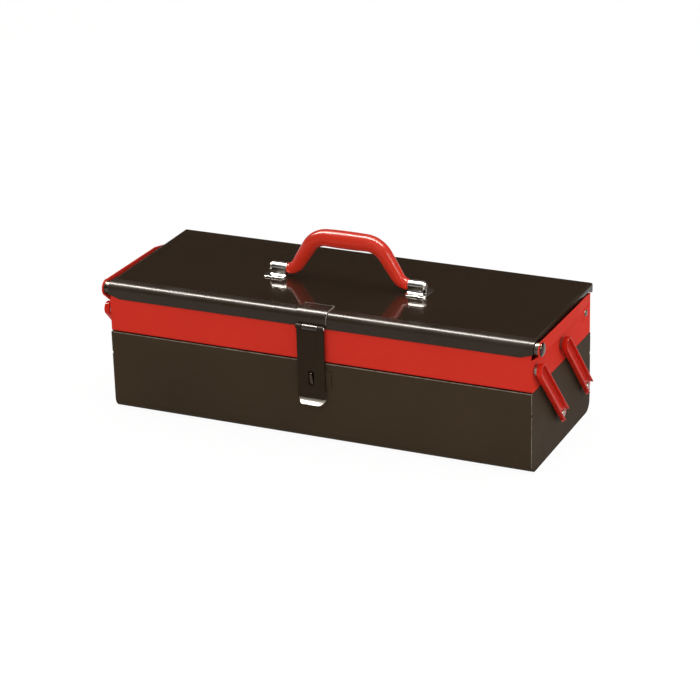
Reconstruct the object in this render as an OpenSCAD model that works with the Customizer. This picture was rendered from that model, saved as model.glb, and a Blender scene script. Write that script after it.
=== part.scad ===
// Cantilever tool box in sheet steel: a deep base, one full-depth tray that swings up and
// back on four parallel arms, and a lid hinged at the tray's rear, with a bail handle and
// a hasp. X runs along the length, Y to the rear, Z up; the origin is the middle of the
// base's resting face.

/* [Box] */
// Length over the end panels
box_l = 450; // [360:1:600]
// Depth of the base, front to rear
box_w = 168; // [150:1:220]
// Height of the base at its rim
base_h = 84; // [80:0.5:120]
// Height of the tray's end panels and rear wall
tray_h = 42; // [40:0.5:60]
// Thickness of the sheet steel
sheet = 1; // [0.8:0.1:1.2]
// Outer radius along the base's two bottom edges
bottom_r = 11; // [5:0.5:16]
// Outer radius along the tray's two bottom edges
tray_bottom_r = 2; // [1.5:0.1:4]
// Height of the folded hem round the base's rim
hem_h = 8; // [5:0.5:8]
// Height of the folded hem along the tray's front and rear walls
tray_hem_h = 6; // [4:0.5:8]
// How far the tray's front and rear faces stand back from the base's
tray_setback = 1.5; // [1.2:0.1:3]
// Width of the weld flanges round the end panels
weld_flange = 9; // [6:0.5:12]
// Height of the small relief notches at the base's four corners
notch_z = 61.5; // [50:0.5:70]
// Radius of these notches
notch_r = 1.4; // [0.8:0.1:2]

/* [Lid] */
// Depth of the lid's rear skirt
skirt_h = 9; // [7:0.5:10]
// Depth of the lid's side skirts between the flares
side_skirt_h = 5; // [3:0.25:5]
// Outer radius of the lid's rolled front edge
roll_r = 7.5; // [6:0.25:9]
// Straight flange below the axis of the rolled edge
roll_drop = 8; // [6:0.5:9]
// How far the tray's front wall reaches up behind that flange
tuck = 4; // [2:0.5:5]
// How far the lid overhangs each end panel
lid_over = 1.4; // [1.3:0.1:2]
// How far the lid overhangs the base's rear face
rear_over = 3; // [0.5:0.5:4]
// Length of the slanted corners of the front flange
slant_l = 13; // [6:0.5:18]
// Height of the slanted corners
slant_h = 4; // [2:0.5:6]
// Radius along the lid's upper rear edge
lid_edge_r = 2; // [1.5:0.1:3]

/* [Lid hinge] */
// Distance of the lid's pivot in front of the base's rear face
hinge_in = 15; // [15:0.25:16]
// Depth of the lid's pivot below the top edge of the tray
hinge_drop = 16.8; // [16.5:0.1:17.5]
// Largest opening angle of the lid
lid_open = 96; // [60:1:96]
// Radius of the lug's boss round the pivot
lug_boss_r = 6; // [5:0.25:6.5]
// Width of the lug's arm
lug_arm_w = 6; // [5:0.25:6]
// Reach of the lug's arm in front of the pivot
lug_reach = 25; // [24.5:0.25:30]
// Width of the lug's riser
lug_riser_w = 10; // [6:0.5:10]
// Thickness of the lug
lug_t = 1.2; // [1:0.1:1.6]
// Distance of the two pressed stops from the pivot
stop_dist = 10; // [9.5:0.1:11]
// Radius of the pressed stops
stop_r = 2.2; // [1.8:0.1:2.3]

/* [Catch ears] */
// How far the end panels flare outwards
flare_out = 7.4; // [7:0.1:9]
// Distance of the flare's crease below the rear top corner of the end panel
flare_h = 9.3; // [9:0.1:12]
// Height over which the panel leans out above the crease
flare_rise = 5; // [4:0.1:6]
// Distance from the front over which the flare keeps its full width
flare_l = 110.5; // [80:0.5:112]
// Distance of the flare's top edge below the lid's top, where it starts to run out
flare_drop = 1.1; // [0.5:0.1:2]
// Radius of the round ear
ear_r = 8.5; // [7:0.25:9]
// Radius of the catch stud's domed head
stud_head_r = 7; // [4:0.25:7.5]
// Height of the catch stud's domed head
stud_head_h = 2.6; // [1.5:0.1:3]
// Radius of the catch stud's shank
stud_r = 2.5; // [2:0.1:3]
// Thickness of each of the two washers on the stud
washer_t = 1.6; // [1:0.1:1.8]
// Radius of the larger washer
washer_r = 6; // [4:0.1:6]

/* [Arms] */
// Distance from one arm's pivot to the next arm's
arm_pitch = 71.5; // [55:0.5:74]
// Distance of the front arm's tray pivot behind the base's front face
arm_in = 10.5; // [10:0.25:20]
// Height of the arms' base pivots
arm_base_z = 34; // [24:0.5:40]
// Depth of the arms' tray pivots below the top edge of the tray
arm_tray_drop = 21.3; // [20.8:0.1:24]
// How far the arms lean forward between their two pivots
arm_lean = 66; // [40:0.5:70]
// Width of an arm
arm_w = 14; // [11:0.5:14]
// Thickness of an arm's web and walls
arm_t = 1.2; // [1:0.1:1.6]
// Height of an arm's walls above its web's inner face
arm_wall_h = 5.6; // [4:0.1:7]
// Length of web below the base pivot
arm_tail = 8; // [6:0.5:10]
// Thickness of the spacers behind the arms
spacer_t = 3; // [2:0.1:4]
// Radius of the spacers
spacer_r = 5.5; // [4.5:0.1:6.5]
// Radius of the arm rivets' shanks
rivet_r = 2.5; // [2:0.1:3]
// Radius of the arm rivets' domed heads
rivet_head_r = 4; // [3.5:0.1:4.5]
// Height of the arm rivets' domed heads
rivet_head_h = 2; // [1:0.1:2.5]

/* [Hasp] */
// Place of the hasp along the length, from the middle
hasp_x = -2; // [-40:0.5:40]
// Width of the hasp plate
hasp_w = 29; // [24:0.5:40]
// Length of the hasp plate below its pin
hasp_l = 74.5; // [64:0.5:80]
// Thickness of the hasp plate
hasp_t = 1.5; // [1.2:0.1:2]
// Width of the leaf that wraps over the rolled edge
leaf_w = 32; // [26:0.5:44]
// Thickness of the leaf
leaf_t = 1.2; // [1:0.1:1.5]
// Length of the leaf on top of the lid
leaf_flat = 13; // [8:0.5:20]
// Radius of the hasp's hinge pin
pin_r = 1.5; // [1.2:0.1:1.6]
// Outer radius of the hinge's knuckles
knuckle_r = 2.9; // [2.7:0.1:3.2]
// Width of each of the plate's two outer knuckles
knuckle_w = 6; // [4:0.25:8]
// Width of the slot in the plate
slot_w = 6.5; // [5:0.25:9]
// Height of the slot
slot_h = 16.5; // [14:0.5:18]
// Distance of the slot's top below the pin
slot_drop = 45; // [44:0.5:48]
// Width of the keeper plate on the base
keeper_w = 33.5; // [30:0.5:40]
// Height of the keeper plate
keeper_h = 19; // [17:0.5:20]
// Thickness of the keeper plate
keeper_t = 1.2; // [0.8:0.1:1.3]
// Distance of the keeper's middle to the right of the slot
keeper_shift = 3.3; // [0:0.1:4]
// Width of the staple
staple_w = 3; // [2.5:0.1:4]
// Reach of the lip below the plate
lip_drop = 6.5; // [4:0.25:8]
// Thickness of the lip
lip_t = 1; // [0.8:0.1:1.2]

/* [Handle] */
// Place of the handle behind the middle of the box
handle_y = 0; // [-20:1:20]
// Height of the rod's axis above the lid
rod_z = 8; // [7:0.1:10]
// Radius of the handle's steel rod
rod_r = 3.2; // [2.5:0.1:4]
// Half the distance between the rod's two lower corners
lower_half = 57.8; // [48:0.2:70]
// Half the distance between the rod's two upper corners
upper_half = 34.2; // [30:0.2:40]
// Height of the grip's middle above the rod's axis
grip_rise = 37.5; // [34:0.5:50]
// Radius of the rod's lower bends
lower_bend = 12; // [9:0.5:14]
// Radius of the rod's upper bends
upper_bend = 24; // [14:0.5:26]
// Radius of the grip at its middle
grip_mid_r = 9.1; // [7:0.1:11]
// Radius of the grip at its ends
grip_end_r = 5.2; // [5:0.1:5.6]
// Length of a bracket's barrel
barrel_l = 16; // [10:0.5:20]
// Wall of the bracket's barrel
barrel_t = 1.6; // [1.2:0.1:2]
// Width of a bracket's foot along the box
foot_l = 23; // [20:0.5:28]
// Depth of a bracket's foot, front to rear
foot_w = 25; // [25:0.5:32]
// Thickness of a bracket's foot
foot_t = 1.4; // [1:0.1:2]
// Radius of the bracket rivets' heads
foot_rivet_r = 2.6; // [2:0.1:2.8]

/* [Hidden] */
$fn = 64;

// Clearances: at rest between bodies, in running fits, and between welded pieces
seat_gap = 0.3;
run_gap = 0.08;
weld_gap = 0.05;
side_gap = 0.1;
tiny = 0.01;

// Colours
dark = [0.19, 0.165, 0.14];
red = [0.80, 0.17, 0.10];
hasp_dark = [0.13, 0.11, 0.09];
steel = [0.78, 0.77, 0.74];

// Places across the box
end_x = box_l / 2;
front_y = -box_w / 2;
rear_y = box_w / 2;
tray_front = front_y + tray_setback;
tray_rear = rear_y - tray_setback;
tray_w = tray_rear - tray_front;
panel_x = end_x - sheet;

// Heights
tray_z = base_h + seat_gap;
tray_top = tray_z + tray_h;
skirt_z = tray_top + seat_gap;
lid_z = skirt_z + skirt_h;
roll_y = front_y + roll_r;
roll_z = lid_z - roll_r;
flange_z = roll_z - roll_drop;
front_top = flange_z + tuck;
lid_x = end_x + lid_over;
lid_rear = rear_y + rear_over;
hem_drop = base_h - hem_h;

// Arms
arm_y = front_y + arm_in;
arm_top_z = tray_top - arm_tray_drop;
arm_rise = arm_top_z - arm_base_z;
arm_len = sqrt(arm_lean * arm_lean + arm_rise * arm_rise);
arm_tilt = atan(arm_lean / arm_rise);
arm_x = end_x + spacer_t + side_gap;
rivet_hole = rivet_r + weld_gap;
rivet_grip = sheet + spacer_t + 2 * side_gap + arm_t;
tray_pivots = [arm_y, arm_y + arm_pitch];
base_pivots = [for (y = tray_pivots) y + arm_lean];

// Lid hinge
hinge_y = rear_y - hinge_in;
hinge_z = tray_top - hinge_drop;
hinge_pin_r = 2;
hinge_head_r = 3.5;
hinge_head_h = 1.5;
lug_x = panel_x - 0.4 - lug_t;
lug_rise = lid_z - sheet - hinge_z;
lug_heel = 0.9;
stop_gap = 0.2;
open_stop_a = 180 - lid_open
    - asin((lug_heel + lug_arm_w / 2 + stop_r + stop_gap) / stop_dist);
shut_stop_a = 180 + asin((lug_arm_w / 2 - lug_heel + stop_r + seat_gap) / stop_dist);

// Catch ears
flare_x = end_x + flare_out;
flare_z = tray_top - flare_h;
ear_z = flare_z + flare_rise;
ear_back = roll_y + ear_r + 1.5;
flare_back = tray_front + flare_l;
flare_top = lid_z - flare_drop;

// Hasp
pin_y = front_y - knuckle_r - seat_gap;
pin_z = flange_z + 0.9;
plate_in = pin_y + 0.9;
slot_top = pin_z - slot_drop;
slot_foot = slot_top - slot_h;
keeper_x = hasp_x + keeper_shift;
keeper_z = slot_top - keeper_h + 0.5;
staple_top = slot_top - 2.5;
staple_foot = slot_foot + 1.5;
lip_tongue = 8;
lip_bend = 5;
lip_turn = 62;
lip_steps = 10;
lip_taper = 4;

// Handle
rod_axis = lid_z + rod_z;
leg_a = atan(grip_rise / (lower_half - upper_half));
lower_x = lower_half + lower_bend * tan(leg_a / 2);
upper_x = upper_half - upper_bend * tan(leg_a / 2);
grip_end = lower_x + 0.8;
foot_x = grip_end;
barrel_x = grip_end + 1.2;
rod_end = barrel_x + barrel_l + 1.5;
barrel_r = rod_r + run_gap + barrel_t;
foot_rivet_y = (foot_w + 2 * barrel_r) / 4;

// ---- helpers -------------------------------------------------------------------

// A shape in the Y-Z plane drawn out along X, from x0 over a length
module along_x(x0, len) {
    translate([x0, 0, 0])
        rotate([90, 0, 90])
            linear_extrude(len)
                children();
}

// A round bar along X
module bar_x(r, x0, x1, y, z) {
    translate([x0, y, z])
        rotate([0, 90, 0])
            cylinder(r = r, h = x1 - x0);
}

// The right-hand piece, or its mirror image on the left
module on_side(s) {
    if (s < 0)
        mirror([1, 0, 0])
            children();
    else
        children();
}

// Half of a dome's cross-section: its foot on y = 0, its axis on x = 0
module dome_half(r, h) {
    ball = (r * r + h * h) / (2 * h);
    intersection() {
        translate([0, h - ball])
            circle(r = ball);
        square([r, h]);
    }
}

// A rivet along X: its tail inside, its shank over the grip, its dome outside
module rivet_x(r, grip, head_r, head_h, tail_r, tail_h) {
    rotate([0, 90, 0])
        rotate_extrude()
            union() {
                translate([0, -tail_h])
                    square([tail_r, tail_h]);
                translate([0, -tiny])
                    square([r, grip + 2 * tiny]);
                translate([0, grip])
                    dome_half(head_r, head_h);
            }
}

// A rectangle with rounded corners from one corner to the opposite one
module soft_rect(a, b, r) {
    w = b[0] - a[0];
    h = b[1] - a[1];
    translate([a[0] + r, a[1]])
        square([w - 2 * r, h]);
    translate([a[0], a[1] + r])
        square([w, h - 2 * r]);
    for (x = [a[0] + r, b[0] - r])
        for (y = [a[1] + r, b[1] - r])
            translate([x, y])
                circle(r = r);
}

// Outline of an open tub with two rounded bottom corners, in the Y-Z plane
module tub_outline(w, z0, z1, r) {
    translate([-w / 2, z0 + r])
        square([w, z1 - z0 - r]);
    translate([-w / 2 + r, z0])
        square([w - 2 * r, 2 * r]);
    for (s = [-1, 1])
        translate([s * (w / 2 - r), z0 + r])
            circle(r = r);
}

// The same tub as a bent sheet of one thickness
module tub_sheet(w, z0, z1, r, t) {
    difference() {
        tub_outline(w, z0, z1, r);
        tub_outline(w - 2 * t, z0 + t, z1 + 1, r - t);
    }
}

// ---- base ----------------------------------------------------------------------

module base_shell() {
    hem_l = box_l - 4 * sheet - 4 * weld_gap;
    color(dark)
        difference() {
            union() {
                along_x(-end_x, box_l)
                    tub_sheet(box_w, 0, base_h, bottom_r, sheet);
                for (s = [-1, 1])
                    translate([-hem_l / 2, s * (box_w / 2 - 1.25 * sheet) - 0.75 * sheet, hem_drop])
                        cube([hem_l, 1.5 * sheet, hem_h]);
            }
            for (s = [-1, 1])
                translate([s * end_x, front_y - 1, notch_z])
                    rotate([-90, 0, 0])
                        cylinder(r = notch_r, h = box_w + 2);
            staple_hole();
            for (x = keeper_rivet_x())
                translate([x, front_y - 1, keeper_mid_z()])
                    rotate([-90, 0, 0])
                        cylinder(r = 1.5 + weld_gap, h = sheet + 2);
        }
}

module base_end(s) {
    in_w = box_w - 2 * sheet - 2 * weld_gap;
    in_z = sheet + weld_gap;
    in_r = bottom_r - sheet;
    color(dark)
        on_side(s)
            difference() {
                union() {
                    along_x(panel_x, sheet)
                        tub_outline(in_w, in_z, base_h, in_r);
                    along_x(panel_x - sheet, sheet)
                        translate([-in_w / 2, hem_drop])
                            square([in_w, hem_h]);
                    along_x(panel_x - weld_flange, weld_flange)
                        tub_sheet(in_w, in_z, hem_drop - 1, in_r, sheet);
                }
                for (y = base_pivots)
                    bar_x(rivet_hole, panel_x - 1, end_x + 1, y, arm_base_z);
            }
}

function keeper_rivet_x() = [keeper_x - keeper_w / 2 + 5, keeper_x + keeper_w / 2 - 9];
function keeper_mid_z() = keeper_z + keeper_h / 2;

// Opening for the staple's legs through the front wall and the keeper
module staple_hole() {
    translate([hasp_x - staple_w / 2 - weld_gap, front_y - keeper_t - 1, staple_foot - weld_gap])
        cube([staple_w + 2 * weld_gap, keeper_t + sheet + 2,
            staple_top - staple_foot + 2 * weld_gap]);
}

module keeper_plate() {
    color(dark)
        difference() {
            translate([0, front_y, 0])
                rotate([90, 0, 0])
                    linear_extrude(keeper_t)
                        soft_rect([keeper_x - keeper_w / 2, keeper_z],
                            [keeper_x + keeper_w / 2, keeper_z + keeper_h], 2);
            staple_hole();
            for (x = keeper_rivet_x())
                translate([x, front_y - keeper_t - 1, keeper_mid_z()])
                    rotate([-90, 0, 0])
                        cylinder(r = 1.5 + weld_gap, h = keeper_t + 2);
        }
}

module keeper_rivets() {
    color(steel)
        for (x = keeper_rivet_x())
            translate([x, front_y + sheet, keeper_mid_z()])
                rotate([0, 0, -90])
                    rivet_x(1.5, sheet + keeper_t, 2.6, 0.6, 2.4, 1);
}

// Bent loop of the staple: its nose slopes so that the slot slides off it as the lid rises
module staple() {
    nose = front_y - 5.4;
    eye_y = front_y - 1.9;
    eye_z = staple_top - 4.6;
    color(steel)
        along_x(hasp_x - staple_w / 2, staple_w)
            difference() {
                union() {
                    polygon([[front_y + sheet + 0.8, staple_top],
                        [nose + 2, staple_top],
                        [nose, staple_top - 2],
                        [nose + 0.3, staple_top - 3.4],
                        [front_y - 2.4, staple_foot],
                        [front_y + sheet + 0.8, staple_foot]]);
                    translate([nose + 2, staple_top - 2])
                        circle(r = 2);
                }
                translate([eye_y, eye_z])
                    circle(r = 1.7);
            }
}

module base_rivets(s) {
    color(steel)
        on_side(s)
            for (y = base_pivots)
                translate([panel_x, y, arm_base_z])
                    rivet_x(rivet_r, rivet_grip, rivet_head_r, rivet_head_h, 3.6, 1.2);
}

module spacers(s, ys, z) {
    color(steel)
        on_side(s)
            for (y = ys)
                difference() {
                    bar_x(spacer_r, end_x, end_x + spacer_t, y, z);
                    bar_x(rivet_hole, end_x - 1, end_x + spacer_t + 1, y, z);
                }
}

// ---- arms ----------------------------------------------------------------------

// Arm drawn upright from its base pivot at the origin
module arm_outline(inset) {
    w = arm_w - 2 * inset;
    corner = 3;
    translate([-w / 2, -arm_tail + corner])
        square([w, arm_len + arm_tail - corner]);
    translate([-w / 2 + corner, -arm_tail])
        square([w - 2 * corner, 2 * corner]);
    for (side = [-1, 1])
        translate([side * (w / 2 - corner), -arm_tail + corner])
            circle(r = corner);
    translate([0, arm_len])
        circle(r = w / 2);
}

module arm(s, y) {
    color(red)
        on_side(s)
            difference() {
                union() {
                    along_x(arm_x, arm_t)
                        translate([y, arm_base_z])
                            rotate(arm_tilt)
                                arm_outline(0);
                    along_x(arm_x, arm_wall_h)
                        translate([y, arm_base_z])
                            rotate(arm_tilt)
                                difference() {
                                    arm_outline(0);
                                    arm_outline(arm_t);
                                    translate([-arm_w, -2 * arm_w - 1])
                                        square([2 * arm_w, 2 * arm_w]);
                                }
                }
                for (p = [[y, arm_base_z], [y - arm_lean, arm_top_z]])
                    bar_x(rivet_r + run_gap, arm_x - 1, arm_x + arm_t + 1, p[0], p[1]);
            }
}

// ---- tray ----------------------------------------------------------------------

module tray_shell() {
    len = box_l - 2 * sheet - 2 * weld_gap;
    color(red)
        along_x(-len / 2, len) {
            difference() {
                tub_sheet(tray_w, tray_z, tray_top, tray_bottom_r, sheet);
                translate([tray_front - 1, front_top])
                    square([tray_w / 2, tray_h]);
            }
            translate([tray_front + sheet / 2, front_top - tray_hem_h])
                square([1.5 * sheet, tray_hem_h]);
            translate([tray_rear - 2 * sheet, tray_top - tray_hem_h])
                square([1.5 * sheet, tray_hem_h]);
        }
}

// Thin upright chip of the sheet at one corner of a flare facet
module chip(p) {
    translate([p[0] - sheet, p[1] - tiny / 2, p[2] - tiny / 2])
        cube([sheet, tiny, tiny]);
}

module facet(points) {
    hull()
        for (p = points)
            chip(p);
}

// Top of an end panel: creased outwards beside the lid, with the round ear in front, and
// run out towards the rear corner
module flare() {
    facet([[end_x, tray_front, flare_z], [end_x, flare_back, flare_z],
        [flare_x, tray_front, ear_z], [flare_x, flare_back, ear_z]]);
    facet([[end_x, flare_back, flare_z], [flare_x, flare_back, ear_z],
        [end_x, tray_rear, flare_z]]);
    facet([[flare_x, flare_back, ear_z], [flare_x, flare_back, flare_top],
        [end_x, tray_rear, tray_top], [end_x, tray_rear, flare_z]]);
    along_x(flare_x - sheet, sheet) {
        translate([roll_y, roll_z])
            circle(r = ear_r);
        polygon([[tray_front, ear_z], [flare_back, ear_z], [flare_back, flare_top],
            [roll_y, roll_z + ear_r - 0.4], [tray_front, roll_z]]);
    }
}

module tray_end(s) {
    flange_w = tray_w - 2 * sheet - 2 * weld_gap;
    color(red)
        on_side(s)
            difference() {
                union() {
                    along_x(panel_x, sheet)
                        difference() {
                            tub_outline(tray_w, tray_z, tray_top, tray_bottom_r);
                            translate([tray_front - 1, flare_z])
                                square([tray_w + 2, tray_h]);
                        }
                    flare();
                    along_x(panel_x - weld_flange, weld_flange)
                        tub_sheet(flange_w, tray_z + sheet + weld_gap,
                            flare_z - 5, tray_bottom_r - sheet / 2, sheet / 2);
                    for (a = [open_stop_a, shut_stop_a])
                        bar_x(stop_r, lug_x, panel_x + tiny,
                            hinge_y + stop_dist * cos(a), hinge_z + stop_dist * sin(a));
                }
                for (a = [open_stop_a, shut_stop_a])
                    bar_x(stop_r, end_x - 0.8 * sheet, end_x + 1,
                        hinge_y + stop_dist * cos(a), hinge_z + stop_dist * sin(a));
                for (y = tray_pivots)
                    bar_x(rivet_hole, panel_x - 1, end_x + 1, y, arm_top_z);
                bar_x(hinge_pin_r + weld_gap, panel_x - 1, end_x + 1, hinge_y, hinge_z);
                bar_x(stud_r + weld_gap, flare_x - sheet - 1, flare_x + 1, roll_y, roll_z);
            }
}

module tray_rivets(s) {
    color(red)
        on_side(s)
            for (y = tray_pivots)
                translate([panel_x, y, arm_top_z])
                    rivet_x(rivet_r, rivet_grip, rivet_head_r, rivet_head_h, 3.6, 1.2);
}

// Stud through the ear, on the axis of the lid's rolled edge
module catch_stud(s) {
    nose_x = lid_x + seat_gap + 0.05;
    collar_x = flare_x - sheet - 2 * washer_t - 2 * weld_gap;
    color(steel)
        on_side(s) {
            translate([collar_x, roll_y, roll_z])
                rivet_x(stud_r, flare_x - collar_x, stud_head_r, stud_head_h, stud_r + 1.2,
                    collar_x - nose_x - 0.4);
            bar_x(stud_r + 0.6, nose_x, collar_x, roll_y, roll_z);
        }
}

module stud_washers(s) {
    color(steel)
        on_side(s)
            for (i = [0, 1])
                difference() {
                    x1 = flare_x - sheet - weld_gap - i * washer_t;
                    bar_x(washer_r - 0.8 * i, x1 - washer_t + weld_gap, x1, roll_y, roll_z);
                    bar_x(stud_r + weld_gap, x1 - washer_t - 1, x1 + 1, roll_y, roll_z);
                }
}

// Rivet on which the lid turns: fixed in the end panel, a running fit in the lug
module lid_pivot(s) {
    tail = 1.2;
    reach = lug_x - 2 * side_gap;
    color(steel)
        on_side(s)
            translate([reach, hinge_y, hinge_z])
                rivet_x(hinge_pin_r, end_x - reach, hinge_head_r, hinge_head_h, 3.2, tail);
}

// ---- lid -----------------------------------------------------------------------

// Cross-section of the lid: top, rolled front edge with its flange, rear skirt
module lid_section() {
    translate([roll_y, lid_z - sheet])
        square([lid_rear - lid_edge_r - roll_y, sheet]);
    intersection() {
        difference() {
            translate([roll_y, roll_z])
                circle(r = roll_r);
            translate([roll_y, roll_z])
                circle(r = roll_r - sheet);
        }
        translate([front_y - 1, roll_z])
            square([roll_r + 1, roll_r + 1]);
    }
    translate([front_y, flange_z])
        square([sheet, roll_drop]);
    intersection() {
        difference() {
            translate([lid_rear - lid_edge_r, lid_z - lid_edge_r])
                circle(r = lid_edge_r);
            translate([lid_rear - lid_edge_r, lid_z - lid_edge_r])
                circle(r = lid_edge_r - sheet);
        }
        translate([lid_rear - lid_edge_r, lid_z - lid_edge_r])
            square([lid_edge_r, lid_edge_r]);
    }
    translate([lid_rear - sheet, skirt_z])
        square([sheet, skirt_h - lid_edge_r]);
}

// Side skirt: shallow between the flares, deeper behind the panels' rear corners
module side_skirt() {
    low_z = lid_z - side_skirt_h;
    polygon([[ear_back + 1, low_z], [tray_rear - 10, low_z], [tray_rear, skirt_z],
        [lid_rear - lid_edge_r, skirt_z], [lid_rear - lid_edge_r, lid_z - sheet / 2],
        [ear_back + 1, lid_z - sheet / 2]]);
}

module lid_panel() {
    color(dark)
        difference() {
            union() {
                along_x(-lid_x, 2 * lid_x)
                    lid_section();
                for (s = [-1, 1])
                    on_side(s)
                        along_x(lid_x - sheet, sheet)
                            side_skirt();
            }
            for (s = [-1, 1])
                on_side(s)
                    translate([0, front_y + sheet + 1, 0])
                        rotate([90, 0, 0])
                            linear_extrude(sheet + 2)
                                polygon([[lid_x - slant_l, flange_z - 1],
                                    [lid_x - slant_l, flange_z],
                                    [lid_x, flange_z + slant_h],
                                    [lid_x + 1, flange_z + slant_h],
                                    [lid_x + 1, flange_z - 1]]);
            for (p = foot_rivet_places())
                translate([p[0], p[1], lid_z - sheet - 1])
                    cylinder(r = 1.5 + weld_gap, h = sheet + 2);
        }
}

// Goose-neck lug: from the pivot forwards, then up to the lid, so that it clears the
// tray's rear wall when the lid stands open
module hinge_lug(s) {
    top = lug_rise - weld_gap;
    foot_in = 9;
    color(dark)
        on_side(s)
            difference() {
                union() {
                    along_x(lug_x, lug_t)
                        translate([hinge_y, hinge_z]) {
                            circle(r = lug_boss_r);
                            translate([-lug_reach, lug_heel - lug_arm_w / 2])
                                square([lug_reach, lug_arm_w]);
                            translate([-lug_reach - lug_riser_w / 2, lug_heel - lug_arm_w / 2])
                                square([lug_riser_w, top - lug_heel + lug_arm_w / 2]);
                        }
                    translate([lug_x + lug_t - foot_in, hinge_y - lug_reach - lug_riser_w / 2,
                        hinge_z + top - lug_t])
                        cube([foot_in, lug_riser_w, lug_t]);
                }
                bar_x(hinge_pin_r + run_gap, lug_x - 1, lug_x + lug_t + 1, hinge_y, hinge_z);
            }
}

// ---- hasp ----------------------------------------------------------------------

module hasp_leaf() {
    over = roll_r + leaf_t;
    mid_w = hasp_w - 2 * knuckle_w - 2 * seat_gap;
    color(hasp_dark)
        difference() {
            union() {
                along_x(hasp_x - leaf_w / 2, leaf_w) {
                    translate([roll_y, lid_z])
                        square([leaf_flat, leaf_t]);
                    intersection() {
                        difference() {
                            translate([roll_y, roll_z])
                                circle(r = over);
                            translate([roll_y, roll_z])
                                circle(r = roll_r + tiny);
                        }
                        translate([front_y - 2 * leaf_t, roll_z])
                            square([roll_r + 2 * leaf_t, over]);
                    }
                    translate([front_y - leaf_t, pin_z + knuckle_r + seat_gap])
                        square([leaf_t - tiny, roll_z - pin_z - knuckle_r - seat_gap]);
                }
                along_x(hasp_x - mid_w / 2, mid_w) {
                    translate([front_y - leaf_t, pin_z])
                        square([leaf_t - tiny, roll_z - pin_z]);
                    translate([pin_y, pin_z])
                        circle(r = knuckle_r);
                }
            }
            bar_x(pin_r + weld_gap, hasp_x - leaf_w, hasp_x + leaf_w, pin_y, pin_z);
        }
}

module hasp_pin() {
    color(steel)
        bar_x(pin_r, hasp_x - hasp_w / 2 - 1, hasp_x + hasp_w / 2 + 1, pin_y, pin_z);
}

module hasp_plate() {
    color(hasp_dark)
        difference() {
            union() {
                translate([0, plate_in, 0])
                    rotate([90, 0, 0])
                        linear_extrude(hasp_t)
                            difference() {
                                translate([hasp_x - hasp_w / 2, pin_z - hasp_l])
                                    square([hasp_w, hasp_l - knuckle_r - seat_gap]);
                                translate([hasp_x - slot_w / 2, slot_foot + slot_w / 2])
                                    square([slot_w, slot_h - slot_w]);
                                for (z = [slot_foot + slot_w / 2, slot_top - slot_w / 2])
                                    translate([hasp_x, z])
                                        circle(r = slot_w / 2);
                            }
                for (s = [-1, 1])
                    translate([hasp_x + s * (hasp_w - knuckle_w) / 2, 0, 0])
                        along_x(-knuckle_w / 2, knuckle_w) {
                            translate([pin_y, pin_z])
                                circle(r = knuckle_r);
                            translate([plate_in - hasp_t, pin_z - knuckle_r - 2 * seat_gap])
                                square([hasp_t, knuckle_r + 2 * seat_gap]);
                        }
            }
            bar_x(pin_r + run_gap, hasp_x - hasp_w, hasp_x + hasp_w, pin_y, pin_z);
        }
}

// Bright pull lip: a tongue behind the plate that turns outwards below its edge
module hasp_lip() {
    foot_z = pin_z - hasp_l;
    bend = [plate_in + weld_gap - lip_bend, foot_z + 1];
    side = hasp_w / 2;
    top_z = foot_z + 2 * lip_tongue;
    low_z = foot_z - 2 * lip_drop;
    flat = lip_drop - 3;
    outer = lip_bend + lip_t;
    color(steel)
        intersection() {
            along_x(hasp_x - side, hasp_w)
                polygon(concat(
                    [bend + [outer, lip_tongue]],
                    [for (i = [0:lip_steps]) bend + turned([outer, 0], i * lip_turn / lip_steps)],
                    [bend + turned([outer, -flat], lip_turn)],
                    [bend + turned([lip_bend, -flat], lip_turn)],
                    [for (i = [lip_steps:-1:0])
                        bend + turned([lip_bend, 0], i * lip_turn / lip_steps)],
                    [bend + [lip_bend, lip_tongue]]));
            translate([hasp_x, front_y + 5, 0])
                rotate([90, 0, 0])
                    linear_extrude(30)
                        polygon([[-side, top_z], [-side, foot_z],
                            [2 * lip_taper - side, low_z], [side - 2 * lip_taper, low_z],
                            [side, foot_z], [side, top_z]]);
        }
}

// A point turned clockwise about the origin
function turned(p, a) = [p[0] * cos(a) + p[1] * sin(a), p[1] * cos(a) - p[0] * sin(a)];

// ---- handle --------------------------------------------------------------------

function foot_rivet_places() = [for (s = [-1, 1]) for (t = [-1, 1])
    [s * (foot_x + foot_l / 2), handle_y + t * foot_rivet_y]];

// Saddle bracket: a foot on the lid and a strap round the rod
module bracket(s) {
    color(steel)
        on_side(s)
            difference() {
                union() {
                    translate([0, 0, lid_z])
                        linear_extrude(foot_t)
                            soft_rect([foot_x, handle_y - foot_w / 2],
                                [foot_x + foot_l, handle_y + foot_w / 2], 4);
                    bar_x(barrel_r, barrel_x, barrel_x + barrel_l, handle_y, rod_axis);
                    translate([barrel_x, handle_y - barrel_r, lid_z])
                        cube([barrel_l, 2 * barrel_r, rod_z]);
                }
                bar_x(rod_r + run_gap, barrel_x - 1, barrel_x + barrel_l + 1,
                    handle_y, rod_axis);
                translate([barrel_x - 1, handle_y - rod_r - run_gap, lid_z + foot_t])
                    cube([barrel_l + 2, 2 * (rod_r + run_gap), rod_z - foot_t]);
                for (p = foot_rivet_places())
                    translate([abs(p[0]), p[1], lid_z - 1])
                        cylinder(r = 1.5 + weld_gap, h = foot_t + 2);
            }
}

module bracket_rivets() {
    color(steel)
        for (p = foot_rivet_places())
            translate([p[0], p[1], lid_z - sheet])
                rotate([0, -90, 0])
                    rivet_x(1.5, sheet + foot_t, foot_rivet_r, 1.3, 2.4, 0.8);
}

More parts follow.
